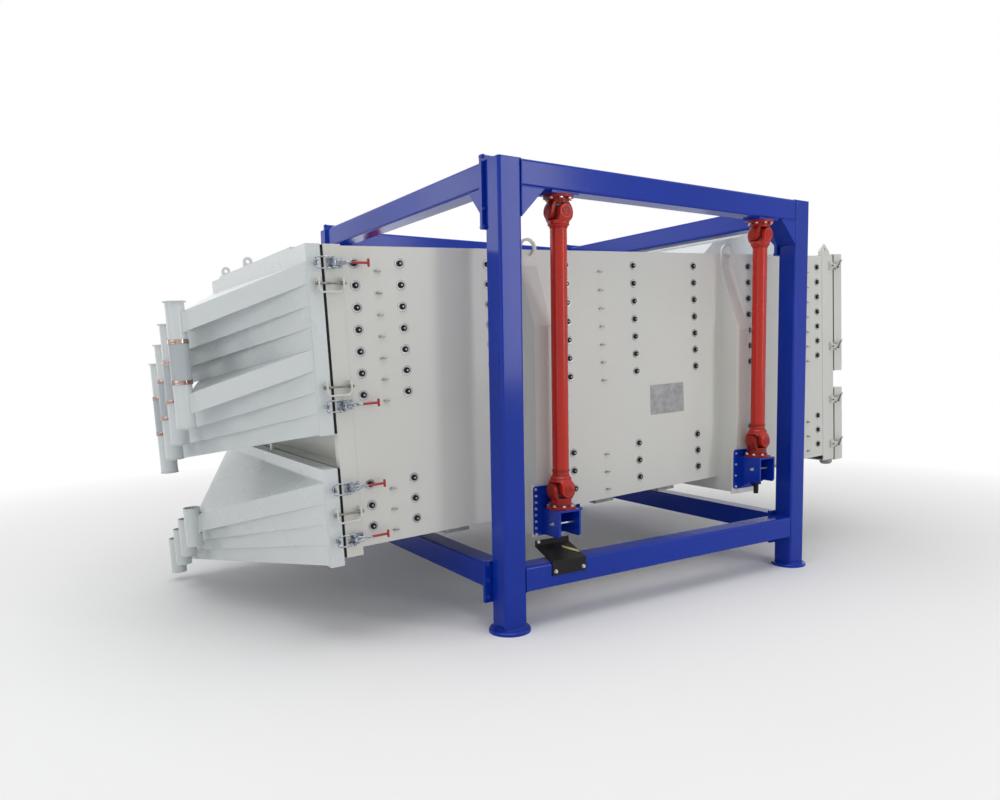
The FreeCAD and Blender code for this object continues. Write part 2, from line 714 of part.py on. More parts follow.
def fan_duct(top, pitch, drop, pipe_u, pipe_y):
    """Four welded sheets, above, below and at the sides, cut to fit round the pipe."""
    high = pitch - DUCT_GAP
    (left_out, left_in), (right_out, right_in) = duct_plan(pipe_u, pipe_y)
    cover = left_out + right_out[::-1]
    plates = [(cover, top, DUCT_WALL), (cover, top - high + DUCT_WALL, DUCT_WALL),
              (left_out + left_in[::-1], top - DUCT_WALL, high - 2 * DUCT_WALL),
              (right_out + right_in[::-1], top - DUCT_WALL, high - 2 * DUCT_WALL)]
    low = top - 2 * (drop + pitch)
    seat = Part.makeCylinder(PIPE_RADIUS + DUCT_GAP, 2 * (drop + pitch), vec(pipe_u, pipe_y, low))
    return group([sloped_sheet(*plate, drop, pipe_u).cut(seat) for plate in plates])


def upper_ducts(first, last):
    ducts = [fan_duct(UPPER_DUCT_TOP - k * UPPER_PITCH, UPPER_PITCH, UPPER_DROP, UPPER_PIPE_U,
                      UPPER_PIPE_Y[k % len(UPPER_PIPE_Y)]) for k in range(first, last)]
    return in_body(group(ducts))


def lower_ducts():
    ducts = [fan_duct(LOWER_DUCT_TOP - k * LOWER_PITCH, LOWER_PITCH, LOWER_DROP, LOWER_PIPE_U, y)
             for k, y in enumerate(LOWER_PIPE_Y)]
    return in_body(group(ducts))


def pipe(u, y, low, high):
    outside = Part.makeCylinder(PIPE_RADIUS, high - low, vec(u, y, low))
    return outside, Part.makeCylinder(PIPE_RADIUS - PIPE_WALL, high - low, vec(u, y, low))


def tip_span(k, top, pitch, drop):
    """Top and bottom of a duct where it meets its pipe."""
    high = top - k * pitch - drop
    return high - pitch, high


def stub(u, y, low, high, duct, rim_at):
    """A pipe length with a window for its duct and a rolled rim at one end."""
    outside, bore = pipe(u, y, low, high)
    if rim_at == "top":
        outside = outside.fuse(Part.makeCylinder(RIM_RADIUS, RIM_THICK, vec(u, y, high - RIM_THICK)))
    wall = outside.cut(bore)
    half = PIPE_RADIUS - PIPE_WALL - PIPE_WINDOW_SIDE
    bottom, top = duct[0] + DUCT_WALL + PIPE_WINDOW_END, duct[1] - DUCT_WALL - PIPE_WINDOW_END
    return wall.cut(block(u, u + 2 * PIPE_RADIUS, y - half, y + half, bottom, top))


def upper_outlet_pipes():
    pipes = []
    rows = len(UPPER_PIPE_Y)
    for k, y in enumerate(UPPER_PIPE_Y):
        first = tip_span(k, UPPER_DUCT_TOP, UPPER_PITCH, UPPER_DROP)
        second = tip_span(k + rows, UPPER_DUCT_TOP, UPPER_PITCH, UPPER_DROP)
        pipes.append(stub(UPPER_PIPE_U, y, first[0] - STUB_TAIL[0], first[1] + PIPE_ABOVE, first, "top"))
        low, high = second[0] - PIPE_BELOW, second[1] + STUB_TAIL[1]
        pipes.append(stub(UPPER_PIPE_U, y, low, high, second, "none"))
    return in_body(group(pipes))


def pipe_sleeves():
    """Flexible sleeves joining the two lengths of each upper pipe."""
    sleeves = []
    rows = len(UPPER_PIPE_Y)
    for k, y in enumerate(UPPER_PIPE_Y):
        high = tip_span(k, UPPER_DUCT_TOP, UPPER_PITCH, UPPER_DROP)[0] - STUB_TAIL[0] + SLEEVE_LAP
        low = tip_span(k + rows, UPPER_DUCT_TOP, UPPER_PITCH, UPPER_DROP)[1] + STUB_TAIL[1] - SLEEVE_LAP
        inner = PIPE_RADIUS + DUCT_GAP
        outside = Part.makeCylinder(inner + SLEEVE_WALL, high - low, vec(UPPER_PIPE_U, y, low))
        sleeves.append(outside.cut(Part.makeCylinder(inner, high - low, vec(UPPER_PIPE_U, y, low))))
    return in_body(group(sleeves))


def lower_outlet_pipes():
    pipes = []
    for k, y in enumerate(LOWER_PIPE_Y):
        span = tip_span(k, LOWER_DUCT_TOP, LOWER_PITCH, LOWER_DROP)
        pipes.append(stub(LOWER_PIPE_U, y, span[0] - PIPE_BELOW, span[1] + PIPE_ABOVE, span, "none"))
    return in_body(group(pipes))


def feed_inlet_hood():
    """Sloped sheet hood on the roof, open below, with an open inlet on top."""
    base = BODY_HEIGHT
    t = SHEET
    outer = prism_xz([(u, base + w) for u, w in HOOD], -HOOD_HALF, HOOD_HALF)
    first, last = HOOD[0], HOOD[-1]
    under = [(u, base + w - t) for u, w in HOOD[1:-2]]
    far_side = [(last[0] - t, base + HOOD[-2][1] - t), (last[0] - t, base)]
    cavity = [(first[0] + 2 * t, base)] + under + far_side
    inner = prism_xz(cavity, t - HOOD_HALF, HOOD_HALF - t)
    inlet = block(INLET_U[0], INLET_U[1], -INLET_HALF, INLET_HALF, base + HOOD[2][1], base + 2 * HOOD[3][1])
    hood = outer.cut(inner).cut(inlet)
    seam = HALF_L + HOOD_SEAM
    rising = block(first[0], seam, -HOOD_HALF, HOOD_HALF, base, base + 2 * HOOD[3][1])
    level = block(seam + HOOD_SEAM_GAP, last[0], -HOOD_HALF, HOOD_HALF, base, base + 2 * HOOD[3][1])
    return in_body(group([hood.common(rising), hood.common(level)]))


# Transport lock

def transport_brackets():
    """Bent plates on the front and rear bottom beams, standing under the discharge brackets."""
    x = ROD_X[0]
    t = LOCK_THICK
    beam_top = LOW_BEAM_BOTTOM + TUBE
    face = -HALF_W
    rear = -COLUMN_FACE - LOCK_SETBACK
    under = [(face - t, beam_top - LOCK_LIP), (face, beam_top - LOCK_LIP), (face, beam_top),
             (face + LOCK_FLAT, beam_top), (rear, beam_top + LOCK_RISE), (rear, beam_top + LOCK_UPSTAND)]
    over = [(rear - t, beam_top + LOCK_UPSTAND), (rear - t, beam_top + LOCK_RISE + 0.7 * t),
            (face + LOCK_FLAT - 0.5 * t, beam_top + t), (face - t, beam_top + t)]
    return both_sides([prism_yz(under + over, x - LOCK_HALF, x + LOCK_HALF)])


# Inside: sieve decks and exciter

def deck(level):
    """One sieve deck frame with a middle bar."""
    u0 = SEAM_DISCHARGE + BAND_DISCHARGE + DECK_END_GAP
    u1 = SEAM_FEED - BAND_FEED - DECK_END_GAP
    half = BODY_HALF - WALL - DECK_SIDE_GAP
    low, high = level - DECK_HIGH / 2, level + DECK_HIGH / 2
    frame = block(u0, u1, -half, half, low, high)
    mid = (u0 + u1) / 2
    for a, b in ((u0 + DECK_BAR, mid - DECK_BAR / 2), (mid + DECK_BAR / 2, u1 - DECK_BAR)):
        frame = frame.cut(block(a, b, -half + DECK_BAR, half - DECK_BAR, low, high))
    return frame


def deck_stack(levels):
    return in_body(group([deck(level) for level in levels]))


def exciter_housing():
    """Motor barrel between the two weights, on two legs that stand on the lower partition."""
    low = PARTITION_LOW + SHEET
    barrel = Part.makeCylinder(EXCITER_RADIUS, EXCITER_HIGH, vec(0, 0, low + EXCITER_RAISED))
    near, far = EXCITER_RADIUS - EXCITER_LEG_IN, EXCITER_RADIUS + EXCITER_LEG_OUT
    stand = block(near, far, -EXCITER_LEG_HALF, EXCITER_LEG_HALF, low, low + EXCITER_LEG_HIGH)
    whole = fuse([barrel, stand, turned(stand, UP, 180)])
    bore = Part.makeCylinder(EXCITER_SHAFT + RUNNING, EXCITER_HIGH, vec(0, 0, low + EXCITER_RAISED))
    return in_body(whole.cut(bore))


def exciter_shaft():
    low = PARTITION_LOW + SHEET + SHAFT_RAISED
    return in_body(Part.makeCylinder(EXCITER_SHAFT, SHAFT_LENGTH, vec(0, 0, low)))


def eccentric_weights():
    """Half discs keyed on the shaft above and below the barrel."""
    weights = []
    for raised in WEIGHT_RAISED:
        base = vec(0, 0, PARTITION_LOW + SHEET + raised)
        half_disc = Part.makeCylinder(WEIGHT_RADIUS, WEIGHT_HIGH, base, UP, 180)
        hub = Part.makeCylinder(WEIGHT_HUB, WEIGHT_HIGH, base)
        bore = Part.makeCylinder(EXCITER_SHAFT + SHAFT_GRIP, WEIGHT_HIGH, base)
        weights.append(fuse([half_disc, hub]).cut(bore))
    return in_body(group(weights))


# Toggle latches, each drawn at the origin: seam plane at u = 0, body side plane at y = 0

def latch_base():
    """Foot plate with two cheeks and the lever's pin between them."""
    u, y = LATCH_PIVOT, -LATCH_STAND
    foot = block(*LATCH_FOOT, -LATCH_FOOT_THICK, 0, -CHEEK_OUTER, CHEEK_OUTER)
    left, right = u - CHEEK_HALF, u + CHEEK_HALF
    near, far = y - CHEEK_PAST, -LATCH_FOOT_THICK
    cheeks = [block(left, right, near, far, s * CHEEK_INNER, s * CHEEK_OUTER) for s in (-1, 1)]
    pin = rod(LATCH_PIN, vec(u, y, -CHEEK_INNER), vec(u, y, CHEEK_INNER))
    return fuse([foot, pin] + cheeks)


def latch_keeper():
    """Post on the door's edge that the hook pulls on."""
    u = -SEAL_THICK - KEEPER_SET
    return block(u - 5, u + 5, -LATCH_STAND - 12, 0, -KEEPER_HALF, KEEPER_HALF)


def latch_lever():
    """Arm on the pin, a narrower grip and a cross bar at its end."""
    stand = LATCH_STAND
    start = LATCH_PIVOT - LEVER_BEFORE
    arm = block(start, LATCH_ARM, -stand - LEVER_DEEP, -stand + LEVER_DEEP, -LEVER_HALF, LEVER_HALF)
    grip = block(LATCH_ARM, LATCH_GRIP, -stand - 7, -stand + 1, -6, 6)
    tee = block(LATCH_GRIP - 10, LATCH_GRIP, -stand - 8, -stand + 2, -LATCH_TEE_HALF, LATCH_TEE_HALF)
    low, high = vec(LATCH_PIVOT, -stand, -LEVER_HALF), vec(LATCH_PIVOT, -stand, LEVER_HALF)
    bore = rod(LATCH_PIN + RUNNING, low, high)
    return fuse([arm, grip, tee]).cut(bore)


def latch_hook():
    """U-shaped bar from beside the pivot to behind the keeper."""
    y0, y1 = -LATCH_STAND - HOOK_ROD, -LATCH_STAND + HOOK_ROD
    outside = block(-HOOK_REACH - HOOK_ROD, LATCH_PIVOT, y0, y1, -HOOK_HALF - HOOK_ROD, HOOK_HALF + HOOK_ROD)
    inside = block(-HOOK_REACH + HOOK_ROD, LATCH_PIVOT, y0, y1, HOOK_ROD - HOOK_HALF, HOOK_HALF - HOOK_ROD)
    return outside.cut(inside)


def latch_column(piece):
    """Copies of a latch piece at each level of the front corner at the discharge end."""
    return [moved(piece, SEAM_DISCHARGE, -SIDE, level) for level in LATCH_LEVELS]


def latch_bases():
    return in_body(both_sides(latch_column(latch_base()) + latch_column(latch_keeper())))


def latch_pieces(piece, side):
    column = group(latch_column(piece))
    return in_body(column if side == "front" else mirrored_y(column))


def feed_clamp():
    """Two feet, one on the band and one on the door, with a strap bolted across and an inclined key."""
    door_side = SEAL_THICK + 12
    feet = [block(-52, -12, -CLAMP_STAND, 0, -CLAMP_HALF, CLAMP_HALF),
            block(door_side, door_side + 44, -CLAMP_STAND, 0, -CLAMP_HALF, CLAMP_HALF)]
    outer = -CLAMP_STAND - CLAMP_STRAP
    strap = block(-46, door_side + 38, outer, -CLAMP_STAND, -CLAMP_HALF / 2, CLAMP_HALF / 2)
    key = [(door_side + 8, -8), (door_side + 22, -8), (door_side + 62, 52), (door_side + 48, 52)]
    return fuse(feet + [strap, prism_xz(key, outer - CLAMP_STRAP, outer)])


def feed_clamps():
    return in_body(both_sides([moved(feed_clamp(), SEAM_FEED, -SIDE, level) for level in CLAMP_LEVELS]))


# The whole machine

def nodes():
    parts = {
        "legs": corners(leg()),
        "foot_discs": corners(foot_disc()),
        "long_top_beams": long_beams(TOP_BEAM_BOTTOM),
        "cross_top_beams": cross_beams(TOP_BEAM_BOTTOM),
        "long_bottom_beams": long_beams(LOW_BEAM_BOTTOM),
        "cross_bottom_beams": cross_beams(LOW_BEAM_BOTTOM),
        "haunch_gussets": haunch_gussets(),
        "end_flange_plates": end_flange_plates(),
        "hanger_pads": hanger_pads(),
        "top_flange_yokes": top_flange_yokes(),
        "transport_brackets": transport_brackets(),
        "bottom_flange_yokes": bottom_flange_yokes(),
        "side_walls": side_walls(),
        "roof_plate": roof_plate(),
        "floor_plate": horizontal_plate(0, SHEET),
        "end_frames": end_frames(),
        "partition_plates": partition_plates(),
        "hanger_columns": hanger_columns(),
        "under_cross_members": under_cross_members(),
        "rod_brackets": rod_brackets(),
        "rubber_stops": rubber_stops(),
        "under_body_pads": under_body_pads(),
        "door_seals": door_seals(),
        "upper_discharge_door": upper_discharge_door(),
        "lower_discharge_door": lower_discharge_door(),
        "upper_feed_door": feed_door(FEED_UPPER),
        "lower_feed_door": feed_door(FEED_LOWER),
        "high_fan_ducts": upper_ducts(0, UPPER_DUCTS // 2),
        "middle_fan_ducts": upper_ducts(UPPER_DUCTS // 2, UPPER_DUCTS),
        "low_fan_ducts": lower_ducts(),
        "upper_outlet_pipes": upper_outlet_pipes(),
        "pipe_sleeves": pipe_sleeves(),
        "lower_outlet_pipes": lower_outlet_pipes(),
        "feed_inlet_hood": feed_inlet_hood(),
        "upper_sieve_decks": deck_stack(DECK_LEVELS),
        "lower_sieve_decks": deck_stack(LOW_DECK_LEVELS),
        "exciter_housing": exciter_housing(),
        "exciter_shaft": exciter_shaft(),
        "eccentric_weights": eccentric_weights(),
        "latch_bases": latch_bases(),
        "feed_clamps": feed_clamps(),
    }
    for name, x, y, low in rod_places():
        parts[name + "_rod"] = moved(cardan_rod(TOP_PIVOT - low), x, y, low)
        parts[name + "_top_cross"] = moved(cross(), x, y, TOP_PIVOT)
        parts[name + "_bottom_cross"] = moved(cross(), x, y, low)
    for side in ("front", "rear"):
        parts[side + "_latch_levers"] = latch_pieces(latch_lever(), side)
        parts[side + "_latch_hooks"] = latch_pieces(latch_hook(), side)
    return parts


def middle_of(parts):
    """X of the middle of the whole machine, which becomes the origin."""
    boxes = [shape.BoundBox for shape in parts.values()]
    return (min(b.XMin for b in boxes) + max(b.XMax for b in boxes)) / 2


os.makedirs("parts", exist_ok=True)
PARTS = nodes()
SHIFT = -middle_of(PARTS)
for node, shape in PARTS.items():
    moved(shape, SHIFT, 0, 0).exportStep("parts/" + node + ".step")
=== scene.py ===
import bpy
import bmesh
import math
import random
from mathutils import Matrix, Vector


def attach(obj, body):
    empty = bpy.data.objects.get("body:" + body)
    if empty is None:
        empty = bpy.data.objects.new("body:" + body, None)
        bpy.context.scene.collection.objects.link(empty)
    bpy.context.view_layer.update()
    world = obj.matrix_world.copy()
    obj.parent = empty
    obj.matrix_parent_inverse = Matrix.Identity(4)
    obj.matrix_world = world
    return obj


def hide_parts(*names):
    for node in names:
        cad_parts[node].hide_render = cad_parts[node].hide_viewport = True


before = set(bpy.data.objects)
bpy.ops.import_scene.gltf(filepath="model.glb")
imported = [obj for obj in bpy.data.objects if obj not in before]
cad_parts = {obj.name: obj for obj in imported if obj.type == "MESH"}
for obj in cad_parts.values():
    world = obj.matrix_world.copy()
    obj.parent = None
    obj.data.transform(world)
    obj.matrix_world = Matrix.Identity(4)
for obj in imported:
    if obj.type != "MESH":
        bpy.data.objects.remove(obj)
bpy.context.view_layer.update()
random.seed(11)

# Steel frame: legs and beams
# Four legs and eight beams of 150 mm square steel tube, sprayed deep glossy blue after welding.
# Long beams are welded to the legs, and the legs stand on round plates welded under them.

# Sizes are in millimetres, from the middle of the frame on the floor.
MM = 0.001
MACHINE_SHIFT = 303.495
MACHINE = Matrix.Translation((MACHINE_SHIFT, 0, 0))
LEG_X, LEG_Y = 1260, 1380
TUBE_HALF, TUBE_CORNER = 75, 16
TOP_BEAM, LOW_BEAM = (2550, 2700), (230, 380)
END_PLATES = 24
HAUNCH_FOOT, HAUNCH_RUN = 2384, 158
WELD_LINE = TUBE_HALF + 1
FOOT_WELD_LEVEL, FOOT_WELD = 23, 5
WELD_ANGLE = 60
DUST_COLOUR = (0.55, 0.53, 0.49)
COAT_ROUGHNESS = 0.12


def shade(holder, kind, x, y, **values):
    """Adds one shader node with its settings and socket values."""
    node = holder.node_tree.nodes.new(kind)
    node.location = (x, y)
    for key, value in values.items():
        if hasattr(node, key):
            setattr(node, key, value)
        else:
            node.inputs[key.replace("_", " ").title()].default_value = value
    return node


def spread(material, place, scale, detail, x, y):
    """A noise over the metal's own place, as cloudy values from 0 to 1."""
    noise = shade(material, "ShaderNodeTexNoise", x, y, Scale=scale, Detail=detail)
    material.node_tree.links.new(place, noise.inputs["Vector"])
    return noise.outputs["Fac"]


def between(material, value, low, high, x, y, start=0.3, end=0.7):
    """Maps a value's span from start to end onto another span."""
    span = shade(material, "ShaderNodeMapRange", x, y)
    for socket, number in (("From Min", start), ("From Max", end), ("To Min", low), ("To Max", high)):
        span.inputs[socket].default_value = number
    material.node_tree.links.new(value, span.inputs["Value"])
    return span.outputs["Result"]


def blended(material, factor, first, second, x, y):
    """Mixes two colours, each a plain colour or another node's output."""
    mix = shade(material, "ShaderNodeMix", x, y, data_type="RGBA")
    links = material.node_tree.links
    links.new(factor, mix.inputs["Factor"])
    for socket, colour in ((mix.inputs[6], first), (mix.inputs[7], second)):
        if isinstance(colour, bpy.types.NodeSocket):
            links.new(colour, socket)
        else:
            socket.default_value = (*colour, 1)
    return mix.outputs[2]


def sprayed_paint(name, colour, pale, rough, coat, waves, edge_mm=2.5, dust=0.25, peel=0.12,
                  cloudy=0.86, shine=0.5):
    """Sprayed paint: cloudy tone, waves and orange peel, thin pale edges that are partly wear and partly a
    painted edge highlight, dust on what faces up.
    """
    material = bpy.data.materials.new(name)
    material.use_nodes = True
    tree = material.node_tree
    shader = tree.nodes["Principled BSDF"]
    shader.inputs["Coat Weight"].default_value = coat
    shader.inputs["Coat Roughness"].default_value = COAT_ROUGHNESS
    shader.inputs["IOR"].default_value = 1.5
    shader.inputs["Specular IOR Level"].default_value = shine
    place = shade(material, "ShaderNodeTexCoord", -1500, 0).outputs["Object"]
    ground = shade(material, "ShaderNodeNewGeometry", -1500, -400)
    soft = shade(material, "ShaderNodeBevel", -1500, -700, samples=4, Radius=edge_mm * MM)

    # Cloudy tone
    cloud = spread(material, place, 1.7, 4, -1250, 200)
    deep = tuple(c * cloudy for c in colour)
    tone = blended(material, between(material, cloud, 0, 1, -1050, 200), deep, colour, -850, 200)

    # Pale edges, where the rounded normal turns away from the flat one: partly edge wear, partly a painted
    # edge highlight
    turn = shade(material, "ShaderNodeVectorMath", -1250, -500, operation="DOT_PRODUCT")
    tree.links.new(soft.outputs["Normal"], turn.inputs[0])
    tree.links.new(ground.outputs["True Normal"], turn.inputs[1])
    worn_and_lit_edges = between(material, turn.outputs["Value"], 0.55, 0, -1050, -500, start=0.86, end=0.985)
    tone = blended(material, worn_and_lit_edges, tone, pale, -600, 100)

    # Dust on what faces up
    lift = shade(material, "ShaderNodeSeparateXYZ", -1250, -250)
    tree.links.new(ground.outputs["Normal"], lift.inputs[0])
    facing_up = between(material, lift.outputs["Z"], 0, dust, -1050, -250, start=0.75, end=1.0)
    specks = spread(material, place, 14, 8, -1250, -50)
    settled = shade(material, "ShaderNodeMath", -800, -150, operation="MULTIPLY")
    tree.links.new(facing_up, settled.inputs[0])
    tree.links.new(between(material, specks, 0.3, 1, -1050, -50), settled.inputs[1])
    tone = blended(material, settled.outputs[0], tone, DUST_COLOUR, -400, 0)
    tree.links.new(tone, shader.inputs["Base Color"])

    # Gloss, the sheet's waves and the orange peel
    gloss = between(material, cloud, rough * 0.92, rough * 1.12, -600, -300)
    tree.links.new(gloss, shader.inputs["Roughness"])
    rolled = spread(material, place, 2.6, 2, -1250, -900)
    fine = spread(material, place, 170, 2, -1250, -1100)
    sheet = shade(material, "ShaderNodeBump", -800, -800, Strength=waves, Distance=0.012)
    tree.links.new(rolled, sheet.inputs["Height"])
    tree.links.new(soft.outputs["Normal"], sheet.inputs["Normal"])
    skin = shade(material, "ShaderNodeBump", -500, -800, Strength=peel, Distance=0.0006)
    tree.links.new(fine, skin.inputs["Height"])
    tree.links.new(sheet.outputs["Normal"], skin.inputs["Normal"])
    tree.links.new(skin.outputs["Normal"], shader.inputs["Normal"])
    return material


def coat_nodes(material, *names):
    """Gives the carried-over metal its finish."""
    for name in names:
        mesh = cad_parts[name].data
        mesh.materials.clear()
        mesh.materials.append(material)


def round_bar(mesh, points, radius, finish=0, sides=8, ripple=0.0):
    """A bar along points, in millimetres, with domed ends; ripple makes it a weld bead."""
    points = [Vector(p) for p in points]
    rings = []
    side = None
    for i, point in enumerate(points):
        along = (points[min(i + 1, len(points) - 1)] - points[max(i - 1, 0)]).normalized()
        if side is None:
            side = along.orthogonal().normalized()
        side = (side - along * side.dot(along)).normalized()
        other = along.cross(side)
        size = radius * (1 + ripple * random.uniform(-1, 1))
        ring = []
        for k in range(sides):
            angle = 2 * math.pi * k / sides
            ring.append(mesh.verts.new(point + size * (math.cos(angle) * side + math.sin(angle) * other)))
        rings.append(ring)
    for first, second in zip(rings, rings[1:]):
        for k in range(sides):
            n = (k + 1) % sides
            mesh.faces.new((first[k], first[n], second[n], second[k])).material_index = finish
    start_end = (rings[0], points[0], points[0] - points[1])
    far_end = (rings[-1], points[-1], points[-1] - points[-2])
    for ring, end, step in (start_end, far_end):
        tip = mesh.verts.new(end + step.normalized() * radius * 0.5)
        for k in range(sides):
            n = (k + 1) % sides
            corners = (ring[n], ring[k], tip) if ring is rings[0] else (ring[k], ring[n], tip)
            mesh.faces.new(corners).material_index = finish


def weld(mesh, points, radius=4.0, step=9.0):
    """A weld bead along straight runs between points, in millimetres."""
    path = []
    for a, b in zip(points, points[1:]):
        a, b = Vector(a), Vector(b)
        count = max(2, int((b - a).length / step))
        path += [a.lerp(b, i / count) for i in range(count)]
    path.append(Vector(points[-1]))
    round_bar(mesh, path, radius, sides=6, ripple=0.16)


def rounded_square(half, corner, place):
    """Points once round a square with rounded corners, in the XY plane of place."""
    points = []
    for k in range(4):
        centre = Vector((half - corner, half - corner, 0))
        for i in range(4):
            angle = math.radians(i * 30)
            point = centre + corner * Vector((math.cos(angle), math.sin(angle), 0))
            points.append(place @ (Matrix.Rotation(math.radians(90 * k), 4, "Z") @ point))
    return points + points[:1]


def finished_piece(name, mesh, finishes, body, sharp=35):
    """Turns a mesh drawn in millimetres into a piece of the machine that rides on its body."""
    bmesh.ops.scale(mesh, vec=(MM, MM, MM), verts=mesh.verts)
    data = bpy.data.meshes.new(name)
    mesh.to_mesh(data)
    mesh.free()
    data.shade_smooth()
    data.set_sharp_from_angle(angle=math.radians(sharp))
    for finish in finishes:
        data.materials.append(finish)
    piece = bpy.data.objects.new(name, data)
    bpy.context.scene.collection.objects.link(piece)
    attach(piece, body)
    return piece


def facing(x, y, z, toward):
    """A place in millimetres whose Z axis points toward a direction."""
    return Matrix.Translation((x, y, z)) @ Vector(toward).to_track_quat("Z", "Y").to_matrix().to_4x4()


blue_paint = sprayed_paint("blue_gloss_paint", (0.003, 0.032, 0.37), (0.02, 0.10, 0.62),
                           rough=0.18, coat=0.08, waves=0.02, dust=0.02, peel=0.08, shine=0.2)
coat_nodes(blue_paint, "legs", "foot_discs", "long_top_beams", "cross_top_beams", "long_bottom_beams",
           "cross_bottom_beams", "haunch_gussets", "hanger_pads")

frame_welds = bmesh.new()
for x in (-LEG_X, LEG_X):
    inner = math.copysign(LEG_X - TUBE_HALF, x)
    haunch_end = inner - math.copysign(HAUNCH_RUN, inner)
    for y in (-LEG_Y, LEG_Y):
        foot = MACHINE @ Matrix.Translation((x, y, FOOT_WELD_LEVEL))
        weld(frame_welds, rounded_square(WELD_LINE, TUBE_CORNER, foot), FOOT_WELD)
        for low, high in (TOP_BEAM, LOW_BEAM):
            level = (low + high) / 2
            long_end = MACHINE @ facing(inner, y, level, (1, 0, 0))
            weld(frame_welds, rounded_square(WELD_LINE, TUBE_CORNER, long_end))
            plate_y = math.copysign(LEG_Y - TUBE_HALF - END_PLATES, y)
            cross_end = MACHINE @ facing(x, plate_y, level, (0, 1, 0))
            weld(frame_welds, rounded_square(WELD_LINE, TUBE_CORNER, cross_end))
        for face in (y - TUBE_HALF, y + TUBE_HALF):
            haunch = [(inner, face, HAUNCH_FOOT), (inner, face, TOP_BEAM[0]), (haunch_end, face, TOP_BEAM[0])]
            weld(frame_welds, [MACHINE @ Vector(p) for p in haunch])
finished_piece("frame_welds", frame_welds, [blue_paint], "steel_frame", WELD_ANGLE)

# Steel frame: end plates and their bolts
# The cross beams end in thick plates bolted to plates on the legs, with hexagon bolts, washers and nuts
# sprayed over with the same blue, so that only their shape shows.
TOP_PLATE_BOLTS = {"heights": (2334, 2432, 2722), "out": 83, "across": 19}
LOW_PLATE_BOLTS = {"heights": (396, 300, 200), "out": 98, "across": 24}
HEAD_FACE, NUT_FACE, NUT_TAIL = LEG_Y - TUBE_HALF - END_PLATES, LEG_Y - TUBE_HALF, 7


def turned_part(mesh, profile, place, finish=0, sides=24):
    """Revolves (radius, height) pairs about the Z axis of place."""
    rings = []
    for radius, height in profile:
        if radius < 1e-6:
            rings.append([mesh.verts.new(place @ Vector((0, 0, height)))])
            continue
        ring = []
        for k in range(sides):
            angle = 2 * math.pi * k / sides
            point = Vector((radius * math.cos(angle), radius * math.sin(angle), height))
            ring.append(mesh.verts.new(place @ point))
        rings.append(ring)
    for first, second in zip(rings, rings[1:]):
        for k in range(sides):
            n = (k + 1) % sides
            if len(first) == 1:
                corners = (first[0], second[n], second[k])
            elif len(second) == 1:
                corners = (first[k], first[n], second[0])
            else:
                corners = (first[k], first[n], second[n], second[k])
            if len(set(corners)) == len(corners):
                mesh.faces.new(corners).material_index = finish


def hexagon_bolt(mesh, place, across, washer=True, tail=0.0):
    """A washer, a chamfered six-sided head and the thread's end, in shares of the width across flats."""
    radius = across / 2 / math.cos(math.radians(30))
    hole = across * 0.3
    seat = 0.0
    if washer:
        seat = across * 0.10
        rim = across * 0.62
        turned_part(mesh, [(rim, 0), (rim, seat * 0.8), (rim - 0.6, seat), (hole, seat)], place)
    top = seat + across * 0.42
    head = [(radius, seat), (radius, top - across * 0.05), (radius * 0.9, top), (hole, top)]
    turned_part(mesh, head, place, sides=6)
    end = top + tail
    thread = [(hole, top), (across * 0.29, end), (across * 0.24, end + 1), (0, end + 1)]
    turned_part(mesh, thread, place, sides=12)


coat_nodes(blue_paint, "end_flange_plates")
plate_bolts = bmesh.new()
for x in (-LEG_X, LEG_X):
    for side in (-1, 1):
        for row in (TOP_PLATE_BOLTS, LOW_PLATE_BOLTS):
            for height in row["heights"]:
                for offset in (-row["out"], row["out"]):
                    head = MACHINE @ facing(x + offset, side * HEAD_FACE, height, (0, -side, 0))
                    hexagon_bolt(plate_bolts, head, row["across"])
                    if (offset > 0) == (x > 0):
                        nut = MACHINE @ facing(x + offset, side * NUT_FACE, height, (0, side, 0))
                        hexagon_bolt(plate_bolts, nut, row["across"], tail=NUT_TAIL)
finished_piece("end_plate_bolts", plate_bolts, [blue_paint], "steel_frame")

# Cardan rods
# Each rod is a steel tube with a forged fork welded on each end, hung from flange yokes by crosses
# with needle bearings. All of it is sprayed red; the crosses keep dark grease round their caps.
ENDS = ("discharge", "feed")
CORNERS = [(side, end) for end in ENDS for side in ("front", "rear")]
ROD_X = (-880, 890)
TOP_PIVOT = 2439
LOW_PIVOT = (800, 972)
EAR_FACE = 80
COVER = [(29, 0), (29, 2.4), (27, 3.6), (20, 3.6), (19, 2.2), (0, 2.2)]
COVER_SCREW, COVER_SCREW_OUT, COVER_SCREW_LEVEL = 7, 23.5, 3.2
FORK_SHOULDER = {"height": 71, "radius": 64, "bead": 1.4}
FORK_SEAM = {"height": 88, "radius": 50.5, "bead": 3.4}
TUBE_RING = [(50, 108), (54, 109), (54, 121), (50, 122)]
red_paint = sprayed_paint("red_gloss_paint", (0.50, 0.017, 0.007), (0.60, 0.04, 0.02),
                          rough=0.26, coat=0.15, waves=0.04, dust=0.03, peel=0.2, shine=0.28)
# The forging paint's deep cloudy mottling stands partly for weathering and partly for painted shade on the
# yokes.
cast_red = sprayed_paint("red_paint_on_forging", (0.38, 0.012, 0.006), (0.54, 0.035, 0.02),
                         rough=0.36, coat=0.1, waves=0.35, edge_mm=5, dust=0.02, peel=0.9,
                         cloudy=0.5, shine=0.25)
greased_steel = sprayed_paint("greased_cross_steel", (0.10, 0.055, 0.04), (0.3, 0.25, 0.2),
                              rough=0.38, coat=0.2, waves=0.3, peel=0.7)
coat_nodes(cast_red, "top_flange_yokes", "bottom_flange_yokes")
for side, end in CORNERS:
    coat_nodes(red_paint, f"{side}_{end}_rod")
    coat_nodes(greased_steel, f"{side}_{end}_top_cross", f"{side}_{end}_bottom_cross")


